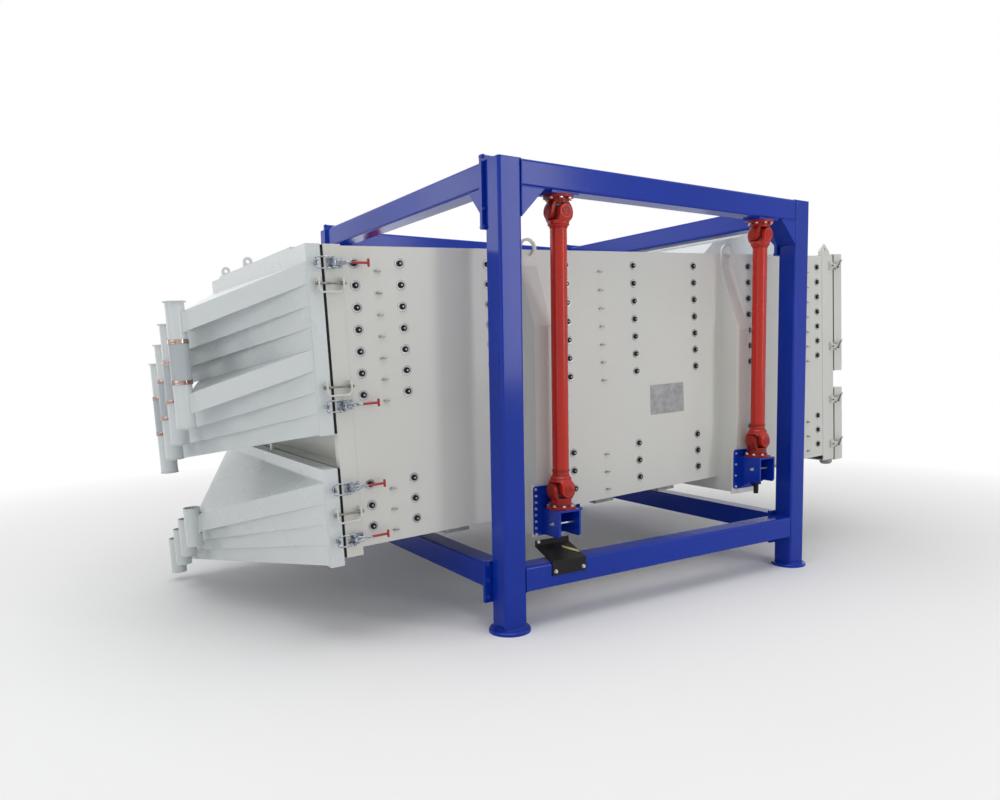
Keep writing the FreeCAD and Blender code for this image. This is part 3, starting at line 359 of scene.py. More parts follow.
def bearing_cap(mesh, place):
    """Cover over a needle bearing: a thin plate with a turned rim and two small screws."""
    turned_part(mesh, COVER, place, sides=28)
    for x in (-COVER_SCREW_OUT, COVER_SCREW_OUT):
        screw = place @ Matrix.Translation((x, 0, COVER_SCREW_LEVEL))
        hexagon_bolt(mesh, screw, COVER_SCREW, washer=False)


for side, end in CORNERS:
    x, low = ROD_X[ENDS.index(end)], LOW_PIVOT[ENDS.index(end)]
    y = -LEG_Y if side == "front" else LEG_Y
    dressing = bmesh.new()
    for pivot, upward in ((low, 1), (TOP_PIVOT, -1)):
        for way in (-1, 1):
            bearing_cap(dressing, MACHINE @ facing(x, y + way * EAR_FACE, pivot, (0, way, 0)))
        for seam in (FORK_SHOULDER, FORK_SEAM):
            radius, level = seam["radius"], pivot + upward * seam["height"]
            angles = [math.radians(10 * k) for k in range(37)]
            ring = [(x + radius * math.cos(a), y + radius * math.sin(a), level) for a in angles]
            weld(dressing, [MACHINE @ Vector(p) for p in ring], seam["bead"], step=6)
    turned_part(dressing, TUBE_RING, MACHINE @ Matrix.Translation((x, y, low)), sides=40)
    finished_piece(f"{side}_{end}_rod_dressing", dressing, [cast_red], f"{side}_{end}_rod")

# Flange bolts of the rods
# Eight bright hexagon bolts hold each flange yoke, above to a pad under the long beam and
# below to the bracket on the screen. The ears of a flange yoke have bearing covers as well.
FLANGE_BOLT, BOLT_CIRCLE = 17, 77
BOLT_ANGLES = [math.radians(22.5 + 45 * k) for k in range(8)]
TOP_SEAT, LOW_SEAT_DROP = 2519, 99
zinc_plate = bpy.data.materials.new("bright_zinc")
zinc_plate.use_nodes = True
zinc_links = zinc_plate.node_tree.links
zinc_shader = zinc_plate.node_tree.nodes["Principled BSDF"]
zinc_shader.inputs["Metallic"].default_value = 0.85
zinc_place = shade(zinc_plate, "ShaderNodeTexCoord", -1000, 0).outputs["Object"]
zinc_cloud = spread(zinc_plate, zinc_place, 60, 6, -800, 100)
zinc_share = between(zinc_plate, zinc_cloud, 0, 1, -600, 100)
zinc_tone = blended(zinc_plate, zinc_share, (0.42, 0.43, 0.44), (0.72, 0.72, 0.70), -400, 100)
zinc_links.new(zinc_tone, zinc_shader.inputs["Base Color"])
zinc_links.new(between(zinc_plate, zinc_cloud, 0.22, 0.42, -600, -100), zinc_shader.inputs["Roughness"])
zinc_skin = shade(zinc_plate, "ShaderNodeBump", -300, -300, Strength=0.2, Distance=0.0004)
zinc_links.new(spread(zinc_plate, zinc_place, 400, 2, -600, -300), zinc_skin.inputs["Height"])
zinc_links.new(zinc_skin.outputs["Normal"], zinc_shader.inputs["Normal"])

for place, body, down in (("top", "steel_frame", -1), ("bottom", "screen_body", 1)):
    flange_bolts = bmesh.new()
    covers = bmesh.new()
    for x, low in zip(ROD_X, LOW_PIVOT):
        pivot, seat = (TOP_PIVOT, TOP_SEAT) if place == "top" else (low, low - LOW_SEAT_DROP)
        for y in (-LEG_Y, LEG_Y):
            for angle in BOLT_ANGLES:
                bolt_x, bolt_y = x + BOLT_CIRCLE * math.cos(angle), y + BOLT_CIRCLE * math.sin(angle)
                hexagon_bolt(flange_bolts, MACHINE @ facing(bolt_x, bolt_y, seat, (0, 0, down)), FLANGE_BOLT)
            for way in (-1, 1):
                bearing_cap(covers, MACHINE @ facing(x + way * EAR_FACE, y, pivot, (way, 0, 0)))
    finished_piece(f"{place}_flange_bolts", flange_bolts, [zinc_plate], body)
    finished_piece(f"{place}_yoke_covers", covers, [cast_red], body)

# Screen body: sheet metal shell
# Thick steel sheet folded and welded to a box, sprayed warm white; a heavier band runs round each end.
# Narrow weld seams run where the hanger columns and the bands meet the sheet.
SCREEN_FLOOR, BODY_TILT = 654, 2.586
SCREEN = (Matrix.Translation((MACHINE_SHIFT, 0, SCREEN_FLOOR))
          @ Matrix.Rotation(math.radians(-BODY_TILT), 4, "Y"))
WALL_FACE, BODY_TOP = 1107, 1644
BAND_SEAMS, BAND_WELD, BAND_WELD_OUT, BAND_WELD_INSET = (-2048, 2044), 2.2, 0.5, 3
COLUMN_EDGES, COLUMN_WELD_START, COLUMN_WELD_LENGTH = (-109, 15), 6, 1622
white_paint = sprayed_paint("warm_white_paint", (0.655, 0.655, 0.615), (0.76, 0.76, 0.72),
                            rough=0.32, coat=0.1, waves=0.012, dust=0.02, peel=0.0, cloudy=0.97, shine=0.4)
coat_nodes(white_paint, "side_walls", "roof_plate", "floor_plate", "end_frames", "hanger_columns",
           "under_cross_members")


def on_screen(u, y, w, toward):
    """A place on the tilted screen body, in its own level millimetres."""
    return SCREEN @ facing(u, y, w, toward)


body_welds = bmesh.new()
for side in (-1, 1):
    for x in ROD_X:
        rise = (x + sum(COLUMN_EDGES) / 2) * math.tan(math.radians(BODY_TILT))
        low_z = SCREEN_FLOOR + rise + COLUMN_WELD_START
        for edge in COLUMN_EDGES:
            levels = (low_z, low_z + COLUMN_WELD_LENGTH)
            weld(body_welds, [MACHINE @ Vector((x + edge, side * WALL_FACE, z)) for z in levels])
    for u in BAND_SEAMS:
        levels = (BAND_WELD_INSET, BODY_TOP - BAND_WELD_INSET)
        seam = [SCREEN @ Vector((u, side * (WALL_FACE + BAND_WELD_OUT), w)) for w in levels]
        weld(body_welds, seam, BAND_WELD)
finished_piece("body_welds", body_welds, [white_paint], "screen_body", WELD_ANGLE)

# Screen body: side bolts, cleats and bare plate
# Each sieve deck is clamped through the side sheet by bolts under black rubber caps on grey washers.
# Small folded cleats sit between the bolt columns, and a bare grey plate is riveted to the front.
BOLT_COLUMNS = (-1978, -1710, -1142, -560, 8, 576, 1152, 1720, 1978)
BOLT_LEVELS = (1552, 1434, 1315, 1195, 1077, 959, 840, 343, 224, 105)
WASHER = [(29, 0), (29, 2.2), (27.5, 3.4), (25, 3.0), (15, 2.2), (13, 2.2)]
RUBBER_CAP = [(17, 1.5), (16.5, 9), (14.5, 13), (9, 14.5), (5.5, 14), (5.5, 11)]
BOLT_END = [(5.4, 11), (5.4, 16), (4.4, 17), (0, 17)]
CLEAT_COLUMNS = (-1845, -283, 1850)
CLEAT_LEVELS = (1510, 1390, 1271, 1153, 1033, 916, 797, 299, 180, 60)
CLEAT, CLEAT_ROUNDING, CLEAT_OUT = (36, 16, 7), 1.4, 6
CLEAT_BOLT, CLEAT_BOLT_U, CLEAT_BOLT_OUT, CLEAT_BOLT_W = 11, -8, 8, 3
PLATE_U, PLATE_W, PLATE_OUT, PLATE_BACK = (127, 446), (526, 733), 1.6, 1
RIVET, RIVET_INSET = [(5, 0), (4.4, 1.8), (2.5, 2.8), (0, 3)], 13


def plain_finish(name, dark, light, rough, metallic=0.0, grain=40.0, bump=0.3):
    """A cloudy finish between two tones with a grain in its surface."""
    material = bpy.data.materials.new(name)
    material.use_nodes = True
    tree = material.node_tree
    shader = tree.nodes["Principled BSDF"]
    shader.inputs["Metallic"].default_value = metallic
    place = shade(material, "ShaderNodeTexCoord", -900, 0).outputs["Object"]
    cloud = spread(material, place, grain, 5, -700, 100)
    tone = blended(material, between(material, cloud, 0, 1, -500, 100), dark, light, -300, 100)
    tree.links.new(tone, shader.inputs["Base Color"])
    gloss = between(material, cloud, rough * 0.85, rough * 1.15, -500, -100)
    tree.links.new(gloss, shader.inputs["Roughness"])
    skin = shade(material, "ShaderNodeBump", -300, -300, Strength=bump, Distance=0.0006)
    tree.links.new(spread(material, place, grain * 6, 3, -500, -300), skin.inputs["Height"])
    tree.links.new(skin.outputs["Normal"], shader.inputs["Normal"])
    return material


def rounded_block(mesh, size, place, rounding):
    """A block with rounded edges about the middle of place, in millimetres."""
    block = bmesh.ops.create_cube(mesh, size=1)["verts"]
    bmesh.ops.scale(mesh, vec=size, verts=block)
    bmesh.ops.transform(mesh, matrix=place, verts=block)
    edges = list(dict.fromkeys(e for v in block for e in v.link_edges))
    bmesh.ops.bevel(mesh, geom=edges, offset=rounding, segments=2, affect="EDGES", profile=0.6)


def plate_corners(inset):
    """The bare plate's corners on the body's side, moved inward by an inset."""
    left, right = PLATE_U[0] + inset, PLATE_U[1] - inset
    low, high = PLATE_W[0] + inset, PLATE_W[1] - inset
    return [(left, low), (right, low), (right, high), (left, high)]


black_rubber = plain_finish("black_rubber", (0.006, 0.006, 0.006), (0.016, 0.016, 0.017), rough=0.55)
black_rubber.node_tree.nodes["Principled BSDF"].inputs["Specular IOR Level"].default_value = 0.15
washer_steel = plain_finish("grey_washer_steel", (0.30, 0.31, 0.32), (0.46, 0.47, 0.48),
                            rough=0.35, metallic=0.6)
# The cleats' grey is darker than the light tabs: it is partly the steel and partly painted shadow under the
# tabs.
cleat_grey_and_shade = plain_finish("cleat_grey_and_shade", (0.22, 0.22, 0.22), (0.42, 0.42, 0.42), rough=0.4, metallic=0.3)
bare_plate = plain_finish("brushed_bare_plate", (0.24, 0.24, 0.25), (0.36, 0.36, 0.37),
                          rough=0.42, metallic=0.55, grain=25)
side_bolts = bmesh.new()
cleats = bmesh.new()
for side in (-1, 1):
    for u in BOLT_COLUMNS:
        for w in BOLT_LEVELS:
            place = on_screen(u, side * WALL_FACE, w, (0, side, 0))
            turned_part(side_bolts, WASHER, place, finish=1, sides=28)
            turned_part(side_bolts, RUBBER_CAP, place, sides=20)
            turned_part(side_bolts, BOLT_END, place, finish=1, sides=14)
    for u in CLEAT_COLUMNS:
        for w in CLEAT_LEVELS:
            middle = SCREEN @ Matrix.Translation((u, side * (WALL_FACE + CLEAT_OUT), w))
            rounded_block(cleats, CLEAT, middle, CLEAT_ROUNDING)
            bolt_y = side * (WALL_FACE + CLEAT_BOLT_OUT)
            head = on_screen(u + CLEAT_BOLT_U, bolt_y, w + CLEAT_BOLT_W, (0, 0, 1))
            hexagon_bolt(cleats, head, CLEAT_BOLT, washer=False)
finished_piece("side_bolts", side_bolts, [black_rubber, washer_steel], "screen_body")
finished_piece("side_cleats", cleats, [cleat_grey_and_shade], "screen_body")

plate = bmesh.new()
front = [plate.verts.new(SCREEN @ Vector((u, -WALL_FACE - PLATE_OUT, w))) for u, w in plate_corners(0)]
back = [plate.verts.new(SCREEN @ Vector((u, -WALL_FACE + PLATE_BACK, w))) for u, w in plate_corners(0)]
plate.faces.new(front)
for k in range(4):
    plate.faces.new((front[k], back[k], back[(k + 1) % 4], front[(k + 1) % 4]))
for u, w in plate_corners(RIVET_INSET):
    head = on_screen(u, -WALL_FACE - PLATE_OUT, w, (0, -1, 0))
    turned_part(plate, RIVET, head, finish=1, sides=14)
finished_piece("bare_plate", plate, [bare_plate, washer_steel], "screen_body")

# Rod brackets on the screen
# Each rod's lower flange stands on a blue welded bracket, bolted through its back plate to the white
# column. A tie bolt runs through both side plates, and silver bolts hold the back plate at its edges.
BRACKET_TOP = (685, 857)
BACK_BOLT_ROWS = ({"first": 520, "pitch": 39.7, "count": 8}, {"first": 636, "pitch": 80.7, "count": 4})
BACK_BOLT, BACK_BOLT_OUT, BACK_FACE = 14, 122, 1289
TIE_Y, TIE_DROP, TIE_HALF, TIE_RADIUS = 1408, 86, 100, 7
TIE_NUT, SIDE_PLATE_FACE = 18, 80
coat_nodes(blue_paint, "rod_brackets")
bracket_bolts = bmesh.new()
for x, top, row in zip(ROD_X, BRACKET_TOP, BACK_BOLT_ROWS):
    for side in (-1, 1):
        for edge in (-BACK_BOLT_OUT, BACK_BOLT_OUT):
            for k in range(row["count"]):
                level = row["first"] + k * row["pitch"]
                head = MACHINE @ facing(x + edge, side * BACK_FACE, level, (0, side, 0))
                hexagon_bolt(bracket_bolts, head, BACK_BOLT)
        tie_y, tie_z = side * TIE_Y, top - TIE_DROP
        bar = [MACHINE @ Vector((x + dx, tie_y, tie_z)) for dx in (-TIE_HALF, TIE_HALF)]
        round_bar(bracket_bolts, bar, TIE_RADIUS, sides=16)
        for way in (-1, 1):
            nut = MACHINE @ facing(x + way * SIDE_PLATE_FACE, tie_y, tie_z, (way, 0, 0))
            hexagon_bolt(bracket_bolts, nut, TIE_NUT)
finished_piece("bracket_bolts", bracket_bolts, [zinc_plate], "screen_body")

# Rubber stops, pads and seals
# Moulded black rubber buffers hang under the feed brackets, and grey rubber pads are stuck under the
# floor. The doors' seals are the same black rubber.
grey_rubber = plain_finish("grey_rubber", (0.22, 0.23, 0.22), (0.34, 0.35, 0.34), rough=0.7)
coat_nodes(black_rubber, "rubber_stops", "door_seals")
coat_nodes(grey_rubber, "under_body_pads")

# Discharge doors
# Pressed and welded steel trays closed on a black rubber seal; the doors and their ducts are a
# slightly colder white than the body. A weld runs round the edge of each door.
DOOR_FACE, DOOR_HALF = -2238, 1098
DOOR_SPANS, DOOR_WELD = ((646.4, 1560), (-74, 386)), 3
cool_white = sprayed_paint("cold_white_paint", (0.66, 0.70, 0.71), (0.78, 0.81, 0.80),
                           rough=0.28, coat=0.15, waves=0.015, dust=0.02, peel=0.0, cloudy=0.97)
coat_nodes(cool_white, "upper_discharge_door", "lower_discharge_door")
door_welds = bmesh.new()
for low, high in DOOR_SPANS:
    edge = [(-DOOR_HALF, low), (DOOR_HALF, low), (DOOR_HALF, high), (-DOOR_HALF, high), (-DOOR_HALF, low)]
    weld(door_welds, [SCREEN @ Vector((DOOR_FACE, y, w)) for y, w in edge], DOOR_WELD, step=12)
finished_piece("door_welds", door_welds, [cool_white], "screen_body", WELD_ANGLE)

# Fan ducts and outlet pipes
# Twelve sheet-metal fans narrow from the width of the screen to round pipes, one for each stream.
# The upper pipes are in two lengths with rolled rims, joined by clear flexible sleeves under clamps.
PIPE_U, UPPER_PIPE_Y, PIPE_STEP = -2785, (-450, -195, 60, 315), 114.2
CLAMP_LEVELS = (1185, 958)
CLAMP_BAND = [(55.6, -12), (57.2, -12), (57.6, -9), (57.0, 0), (57.6, 9), (57.2, 12), (55.6, 12)]
CLAMP_SCREW_TURN, CLAMP_SCREW_OUT, CLAMP_SCREW_HALF = -130, 62, 14
CLAMP_BARREL, CLAMP_HEAD = 5, 8
TOP_RIM = {"level": 1410, "lip": [(61.5, -8), (62.5, -6), (62.5, -2), (61.5, 0)]}
LOW_RIM = {"level": 702, "lip": [(51.5, -3), (54.2, -3), (55, 0), (54.2, 1.5)]}
coat_nodes(cool_white, "high_fan_ducts", "middle_fan_ducts", "low_fan_ducts", "upper_outlet_pipes",
           "lower_outlet_pipes")
clear_sleeve = plain_finish("milky_clear_sleeve", (0.52, 0.57, 0.60), (0.58, 0.63, 0.66),
                            rough=0.25, grain=2.5, bump=0.04)
sleeve_shader = clear_sleeve.node_tree.nodes["Principled BSDF"]
sleeve_shader.inputs["Transmission Weight"].default_value = 0.15
sleeve_shader.inputs["IOR"].default_value = 1.35
coat_nodes(clear_sleeve, "pipe_sleeves")
copper_band = plain_finish("rose_toned_clamp", (0.20, 0.12, 0.10), (0.55, 0.42, 0.38),
                           rough=0.14, metallic=1.0, grain=30)
clamps = bmesh.new()
for k, y in enumerate(UPPER_PIPE_Y):
    for level in CLAMP_LEVELS:
        centre = SCREEN @ Matrix.Translation((PIPE_U, y, level - PIPE_STEP * k))
        turned_part(clamps, CLAMP_BAND, centre, sides=40)
        turn = Matrix.Rotation(math.radians(CLAMP_SCREW_TURN), 4, "Z")
        screw = centre @ turn @ Matrix.Translation((CLAMP_SCREW_OUT, 0, 0))
        barrel = [screw @ Vector((0, d, 0)) for d in (-CLAMP_SCREW_HALF, CLAMP_SCREW_HALF)]
        round_bar(clamps, barrel, CLAMP_BARREL, sides=12)
        head = screw @ facing(0, CLAMP_SCREW_HALF, 0, (0, 1, 0))
        hexagon_bolt(clamps, head, CLAMP_HEAD, washer=False)
finished_piece("sleeve_clamps", clamps, [copper_band], "screen_body")

rims = bmesh.new()
for k, y in enumerate(UPPER_PIPE_Y):
    for rim in (TOP_RIM, LOW_RIM):
        centre = SCREEN @ Matrix.Translation((PIPE_U, y, rim["level"] - PIPE_STEP * k))
        turned_part(rims, rim["lip"] + rim["lip"][:1], centre, sides=40)
finished_piece("pipe_rims", rims, [cool_white], "screen_body")

# Toggle latches
# Four zinc-plated toggle clamps pull each edge of the doors shut: a riveted base, a bent rod hook
# round a post on the door, and a lever with a thin red cross handle.
SEAM, BAND_FACE, LATCH_OUT = -2144, 1110, 36
LATCH_LEVELS = (1551, 795, 345, 58)
FORK_WIDE, FORK_BAR = 10, 4.2
FORK_LINE = ((40, 0, 1), (70, 3, 1), (112, 4, 0.4), (146, 3, 0))
PIVOT_U, PIVOT_BUSH = 46, [(9, -13), (9.6, -11), (9.6, 11), (9, 13), (5.2, 13), (5.2, -13), (9, -13)]
GRIP, GRIP_START, GRIP_END, GRIP_OUT = 7, 142, 236, 3
CROSS_U, CROSS_HALF = 234, 20
HOOK_BAR = 3.8
HOOK_BEND = [(46, 30), (-40, 30), (-50, 28), (-57, 22), (-58, 12)]
HOOK_LOOP = HOOK_BEND + [(u, -rise) for u, rise in HOOK_BEND[::-1]]
HOOK_NUT, HOOK_NUT_PLACES, HOOK_NUT_RISE = 11, (14, 30), 30
dull_zinc = plain_finish("dull_blue_zinc", (0.12, 0.13, 0.16), (0.50, 0.54, 0.60),
                         rough=0.28, metallic=0.75, grain=60, bump=0.25)
red_handle = plain_finish("red_dipped_handle", (0.27, 0.008, 0.010), (0.40, 0.018, 0.020),
                          rough=0.35, grain=30, bump=0.15)
coat_nodes(dull_zinc, "latch_bases")


def by_latch(side, level, u, out, rise):
    """A place beside one latch, measured from the seam, the latch's axis and its level."""
    return SCREEN @ Vector((SEAM + u, side * (BAND_FACE + LATCH_OUT + out), level + rise))


for side, name in ((-1, "front"), (1, "rear")):
    levers, hooks = bmesh.new(), bmesh.new()
    axis_y = side * (BAND_FACE + LATCH_OUT)
    for w in LATCH_LEVELS:
        for rise in (-FORK_WIDE, FORK_WIDE):
            fork = [by_latch(side, w, u, out, rise * share) for u, out, share in FORK_LINE]
            round_bar(levers, fork, FORK_BAR, sides=10)
        pivot = SCREEN @ Matrix.Translation((SEAM + PIVOT_U, axis_y, w))
        turned_part(levers, PIVOT_BUSH, pivot, sides=20)
        stem = [by_latch(side, w, u, GRIP_OUT, 0) for u in (GRIP_START, GRIP_END)]
        round_bar(levers, stem, GRIP, finish=1, sides=12)
        cross = [by_latch(side, w, CROSS_U, GRIP_OUT, rise) for rise in (-CROSS_HALF, CROSS_HALF)]
        round_bar(levers, cross, GRIP, finish=1, sides=12)
        hook_line = [by_latch(side, w, u, 0, rise) for u, rise in HOOK_LOOP]
        round_bar(hooks, hook_line, HOOK_BAR, sides=10)
        for rise in (-HOOK_NUT_RISE, HOOK_NUT_RISE):
            for u in HOOK_NUT_PLACES:
                nut = SCREEN @ facing(SEAM + u, axis_y, w + rise, (1, 0, 0))
                hexagon_bolt(hooks, nut, HOOK_NUT, washer=False)
    lever = finished_piece(f"{name}_lever_forks_and_grips", levers, [dull_zinc, red_handle],
                           f"{name}_latch_levers")
    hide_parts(f"{name}_latch_levers")
    hook = finished_piece(f"{name}_bent_hooks", hooks, [dull_zinc], f"{name}_latch_hooks")
    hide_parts(f"{name}_latch_hooks")

# Tie bolts across the door seam
# Threaded steel rods draw the doors onto the seal between pairs of welded white brackets.
# A bent white bar, welded to both brackets, hangs below each rod.
SEAM_TIE_LEVELS, SEAM_TIE_ENDS, SEAM_TIE_OUT = (1445, 897, 206), (-2209, -2038), 26
SEAM_TIE_RADIUS, SEAM_TIE_NUT, NUT_GAP = 6, 19, 10
TIE_FOOT_FACES = ((-2196, -1), (-2052, 1))
TIE_FOOT, TIE_FOOT_ROUNDING, TIE_FOOT_OUT = (10, 44, 62), 3, 21
LOOP_BEND = [(-2192, 4), (-2186, 38), (-2172, 46), (-2074, 46), (-2062, 38), (-2056, 4)]
LOOP_OUT, LOOP_RADIUS = 34, 5.5
tie_steel = plain_finish("weathered_tie_steel", (0.12, 0.12, 0.11), (0.30, 0.30, 0.27),
                         rough=0.4, metallic=0.5, grain=60)
ties = bmesh.new()
tie_feet = bmesh.new()
for side in (-1, 1):
    tie_y, foot_y = side * (BAND_FACE + SEAM_TIE_OUT), side * (BAND_FACE + TIE_FOOT_OUT)
    for w in SEAM_TIE_LEVELS:
        round_bar(ties, [SCREEN @ Vector((u, tie_y, w)) for u in SEAM_TIE_ENDS], SEAM_TIE_RADIUS, sides=12)
        for u, way in TIE_FOOT_FACES:
            hexagon_bolt(ties, on_screen(u, tie_y, w, (way, 0, 0)), SEAM_TIE_NUT)
            hexagon_bolt(ties, on_screen(u - way * NUT_GAP, tie_y, w, (-way, 0, 0)), SEAM_TIE_NUT)
            middle = SCREEN @ Matrix.Translation((u - way * TIE_FOOT[0] / 2, foot_y, w))
            rounded_block(tie_feet, TIE_FOOT, middle, TIE_FOOT_ROUNDING)
        loop = [SCREEN @ Vector((u, side * (BAND_FACE + LOOP_OUT), w - drop)) for u, drop in LOOP_BEND]
        round_bar(tie_feet, loop, LOOP_RADIUS, sides=10)
finished_piece("door_tie_bolts", ties, [tie_steel], "screen_body")
finished_piece("door_tie_brackets", tie_feet, [white_paint], "screen_body")

# Feed doors and their clamps
# Two pressed and welded steel trays close the feed end, painted like the body. Feet and straps in the
# same paint hold them, each drawn tight by a dark inclined key lever on a bolt through the strap.
STRAP_U, KEY_LEVELS = 2184, (1564, 905, 461, 87)
KEY_BAR, KEY_Y, KEY_RADIUS = ((20, -16), (34, 8), (54, 44)), 1146.5, 5
KEY_PIVOT = {"u": 22, "y": 1142, "w": -12, "across": 15}
STRAP_BOLT = {"u": -32, "y": 1133, "w": 0, "across": 13}
dark_key = plain_finish("dark_key_steel", (0.06, 0.06, 0.065), (0.16, 0.16, 0.17),
                        rough=0.4, metallic=0.5, grain=40)
coat_nodes(white_paint, "upper_feed_door", "lower_feed_door", "feed_clamps")
keys = bmesh.new()
for side in (-1, 1):
    for w in KEY_LEVELS:
        key = [SCREEN @ Vector((STRAP_U + a, side * KEY_Y, w + b)) for a, b in KEY_BAR]
        round_bar(keys, key, KEY_RADIUS, sides=12)
        for bolt in (KEY_PIVOT, STRAP_BOLT):
            head = on_screen(STRAP_U + bolt["u"], side * bolt["y"], w + bolt["w"], (0, side, 0))
            hexagon_bolt(keys, head, bolt["across"])
finished_piece("feed_clamp_keys", keys, [dark_key], "screen_body")

# Transport brackets
# Bent steel plates, painted black, that bolt the screen to the bottom beams while it travels.
# A yellow strip marks the slope of each, and bolts hold the plate to the beam.
LOCK_X = ROD_X[0]
BEAM_BOLT = {"out": 103, "y": 1463, "z": 326, "across": 19}
SEAT_BOLT = {"x": -987, "y": 1287, "z": 471, "across": 17}
SLOPE_LOW, SLOPE_HIGH = Vector((0, 1445, 390)), Vector((0, 1287, 452))
STRIP_CORNERS, STRIP_LIFT = ((34, 0.62), (110, 0.19), (117, 0.34), (41, 0.77)), 0.8
black_paint = sprayed_paint("black_satin_paint", (0.010, 0.010, 0.010), (0.05, 0.05, 0.045),
                            rough=0.4, coat=0.0, waves=0.04, dust=0.04, shine=0.2)
yellow_strip = plain_finish("yellow_marking", (0.52, 0.44, 0.14), (0.66, 0.58, 0.24), rough=0.5, grain=30)
coat_nodes(black_paint, "transport_brackets")
slope = SLOPE_HIGH - SLOPE_LOW
lift = Vector((0, slope.z, -slope.y)).normalized() * STRIP_LIFT
lock_bolts = bmesh.new()
strips = bmesh.new()
for side in (-1, 1):
    for dx in (-BEAM_BOLT["out"], BEAM_BOLT["out"]):
        head = MACHINE @ facing(LOCK_X + dx, side * BEAM_BOLT["y"], BEAM_BOLT["z"], (0, side, 0))
        hexagon_bolt(lock_bolts, head, BEAM_BOLT["across"])
    head = MACHINE @ facing(SEAT_BOLT["x"], side * SEAT_BOLT["y"], SEAT_BOLT["z"], (0, side, 0))
    hexagon_bolt(lock_bolts, head, SEAT_BOLT["across"])
    points = [SLOPE_LOW + slope * share + Vector((dx, 0, 0)) + lift for dx, share in STRIP_CORNERS]
    points = [MACHINE @ Vector((LOCK_X + p.x, side * p.y, p.z)) for p in points]
    strips.faces.new([strips.verts.new(p) for p in (points if side < 0 else points[::-1])])
finished_piece("transport_bolts", lock_bolts, [zinc_plate], "steel_frame")
finished_piece("yellow_strips", strips, [yellow_strip], "steel_frame")

# Feed hood
# A hood of thin steel sheet, welded all round to the roof. It ends in a flat flange round the inlet,
# drilled for the bolts of the feed spout.
HOOD_ENDS, HOOD_HALF, HOOD_WELD = (992, 1958), 770, 4
SPOUT_BOLT, SPOUT_BOLT_U, SPOUT_BOLT_Y = 13, range(1640, 1900, 80), 522
SPOUT_FLANGE = BODY_TOP + 233
coat_nodes(cool_white, "feed_inlet_hood")
hood_bolts = bmesh.new()
for y in (-SPOUT_BOLT_Y, SPOUT_BOLT_Y):
    for u in SPOUT_BOLT_U:
        hexagon_bolt(hood_bolts, on_screen(u, y, SPOUT_FLANGE, (0, 0, 1)), SPOUT_BOLT)
hood_welds = bmesh.new()
near, far = HOOD_ENDS
hood_foot = [(near, -HOOD_HALF), (far, -HOOD_HALF), (far, HOOD_HALF), (near, HOOD_HALF), (near, -HOOD_HALF)]
weld(hood_welds, [SCREEN @ Vector((u, y, BODY_TOP)) for u, y in hood_foot], HOOD_WELD, step=12)
finished_piece("hood_welds", hood_welds, [cool_white], "screen_body", WELD_ANGLE)
finished_piece("hood_bolts", hood_bolts, [zinc_plate], "screen_body")

# Inside of the screen
# Plywood and softwood sieve frames lie in two stacks between the walls. The exciter's housing, its
# shaft and its two weights are machined steel, between two partitions of painted steel plate.
ply = plain_finish("sieve_frame_wood", (0.42, 0.30, 0.17), (0.62, 0.47, 0.30), rough=0.6, grain=6, bump=0.4)
shop_steel = plain_finish("machined_steel", (0.30, 0.31, 0.32), (0.5, 0.5, 0.5),
                          rough=0.35, metallic=0.85, grain=30, bump=0.2)
coat_nodes(ply, "upper_sieve_decks", "lower_sieve_decks")
coat_nodes(white_paint, "partition_plates")
coat_nodes(shop_steel, "exciter_housing", "exciter_shaft", "eccentric_weights")

# Studio
# A pale floor that fades to white in the distance under a soft white sky, one lamp above, two at the
# left and a tall narrow one at the right front. Lengths are in metres from here on.
FLOOR_HALF, FLOOR_TONE = 60, (0.92, 0.92, 0.92, 1)
FADE_START, FADE_END = 3.2, 7.5
SKY_LIGHT, BACKDROP_WHITE = 0.45, 1.0
WHITE = (1, 1, 1, 1)


def seen_as_backdrop(holder, x, y):
    """1 for what the camera, a reflection or clear plastic shows, and 0 for what lights the machine."""
    ray = shade(holder, "ShaderNodeLightPath", x, y)
    seen = ray.outputs["Is Camera Ray"]
    for step, kind in enumerate(("Is Glossy Ray", "Is Transmission Ray"), 1):
        either = shade(holder, "ShaderNodeMath", x + 200 * step, y, operation="MAXIMUM")
        holder.node_tree.links.new(seen, either.inputs[0])
        holder.node_tree.links.new(ray.outputs[kind], either.inputs[1])
        seen = either.outputs[0]
    return seen


floor_paint = bpy.data.materials.new("studio_floor")
floor_paint.use_nodes = True
floor_tree = floor_paint.node_tree
floor_shader = floor_tree.nodes["Principled BSDF"]
floor_shader.inputs["Roughness"].default_value = 0.9
floor_shader.inputs["Base Color"].default_value = FLOOR_TONE
floor_place = shade(floor_paint, "ShaderNodeTexCoord", -1200, 0).outputs["Object"]
reach = shade(floor_paint, "ShaderNodeVectorMath", -1000, 0, operation="LENGTH")
floor_tree.links.new(floor_place, reach.inputs[0])
fade = between(floor_paint, reach.outputs["Value"], 0, 1, -800, 0, FADE_START, FADE_END)
share = shade(floor_paint, "ShaderNodeMath", -400, -100, operation="MULTIPLY")
floor_tree.links.new(fade, share.inputs[0])
floor_tree.links.new(seen_as_backdrop(floor_paint, -1000, -300), share.inputs[1])
glow = shade(floor_paint, "ShaderNodeEmission", -200, -300, Color=WHITE, Strength=BACKDROP_WHITE)
both = shade(floor_paint, "ShaderNodeMixShader", 200, 0)
floor_tree.links.new(share.outputs[0], both.inputs[0])
floor_tree.links.new(floor_shader.outputs[0], both.inputs[1])
floor_tree.links.new(glow.outputs[0], both.inputs[2])
floor_tree.links.new(both.outputs[0], floor_tree.nodes["Material Output"].inputs["Surface"])
floor_mesh = bpy.data.meshes.new("floor")
floor_corners = [(x * FLOOR_HALF, y * FLOOR_HALF, 0) for x, y in ((-1, -1), (1, -1), (1, 1), (-1, 1))]
floor_mesh.from_pydata(floor_corners, [], [(0, 1, 2, 3)])
floor_mesh.materials.append(floor_paint)
floor = bpy.data.objects.new("floor", floor_mesh)
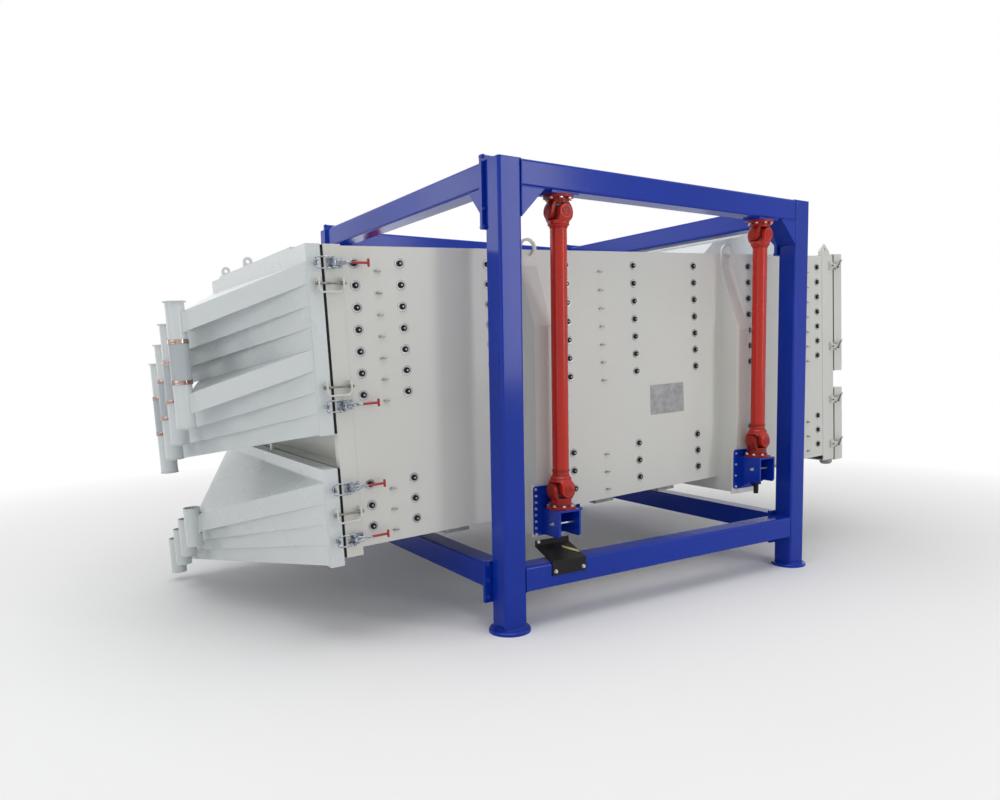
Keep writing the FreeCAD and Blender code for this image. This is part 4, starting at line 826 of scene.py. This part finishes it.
bpy.context.scene.collection.objects.link(floor)

world = bpy.data.worlds.new("studio")
bpy.context.scene.world = world
world.use_nodes = True
sky = world.node_tree
soft_sky = sky.nodes["Background"]
soft_sky.inputs["Color"].default_value = WHITE
soft_sky.inputs["Strength"].default_value = SKY_LIGHT
white = shade(world, "ShaderNodeBackground", 0, -200, Color=WHITE, Strength=BACKDROP_WHITE)
choice = shade(world, "ShaderNodeMixShader", 200, 0)
sky.links.new(seen_as_backdrop(world, -600, 200), choice.inputs[0])
sky.links.new(soft_sky.outputs[0], choice.inputs[1])
sky.links.new(white.outputs[0], choice.inputs[2])
sky.links.new(choice.outputs[0], sky.nodes["World Output"].inputs["Surface"])


def soft_lamp(name, place, aim, size, watts):
    """A large soft lamp at a place, turned to what it lights, in metres."""
    data = bpy.data.lights.new(name, "AREA")
    data.shape = "RECTANGLE"
    data.size, data.size_y = size
    data.energy = watts
    lamp = bpy.data.objects.new(name, data)
    lamp.location = place
    lamp.rotation_euler = (Vector(aim) - Vector(place)).to_track_quat("-Z", "Y").to_euler()
    bpy.context.scene.collection.objects.link(lamp)


soft_lamp("ceiling_lamp", (-1.5, -1.0, 8.0), aim=(0, 0, 1), size=(9, 7), watts=370)
soft_lamp("left_lamp", (-9.0, -2.5, 2.4), aim=(-2, 0, 1.3), size=(5, 3.6), watts=55)
soft_lamp("far_left_lamp", (-8.5, 10.0, 3.6), aim=(-1, 0, 1.5), size=(4, 5), watts=80)
soft_lamp("tall_window", (3.45, -8.0, 3.5), aim=(-0.9, -1.5, 1.8), size=(1.2, 4.6), watts=108)

# Camera
# It stands to the left of the front at a standing person's eye height, in metres, and its turns
# to the side, up and about its own axis are in degrees.
EYE = (-3.32497, -5.14581, 1.59083)
YAW, PITCH, ROLL = math.radians(32.957), math.radians(-5.233), math.radians(-0.845)
LENS, SHIFT_X, SHIFT_Y = 27.978, -0.0175, 0.0298
FARTHEST = 200
camera = bpy.data.objects.new("camera", bpy.data.cameras.new("camera"))
ahead = Vector((math.sin(YAW) * math.cos(PITCH), math.cos(YAW) * math.cos(PITCH), math.sin(PITCH)))
level_right = Vector((math.cos(YAW), -math.sin(YAW), 0))
level_up = level_right.cross(ahead)
right = math.cos(ROLL) * level_right + math.sin(ROLL) * level_up
above = math.cos(ROLL) * level_up - math.sin(ROLL) * level_right
stand = Matrix((right, above, -ahead)).transposed().to_4x4()
stand.translation = EYE
camera.matrix_world = stand
camera.data.lens = LENS
camera.data.shift_x = SHIFT_X
camera.data.shift_y = SHIFT_Y
camera.data.clip_end = FARTHEST
bpy.context.scene.collection.objects.link(camera)
bpy.context.scene.camera = camera
bpy.context.scene.view_settings.view_transform = "Standard"
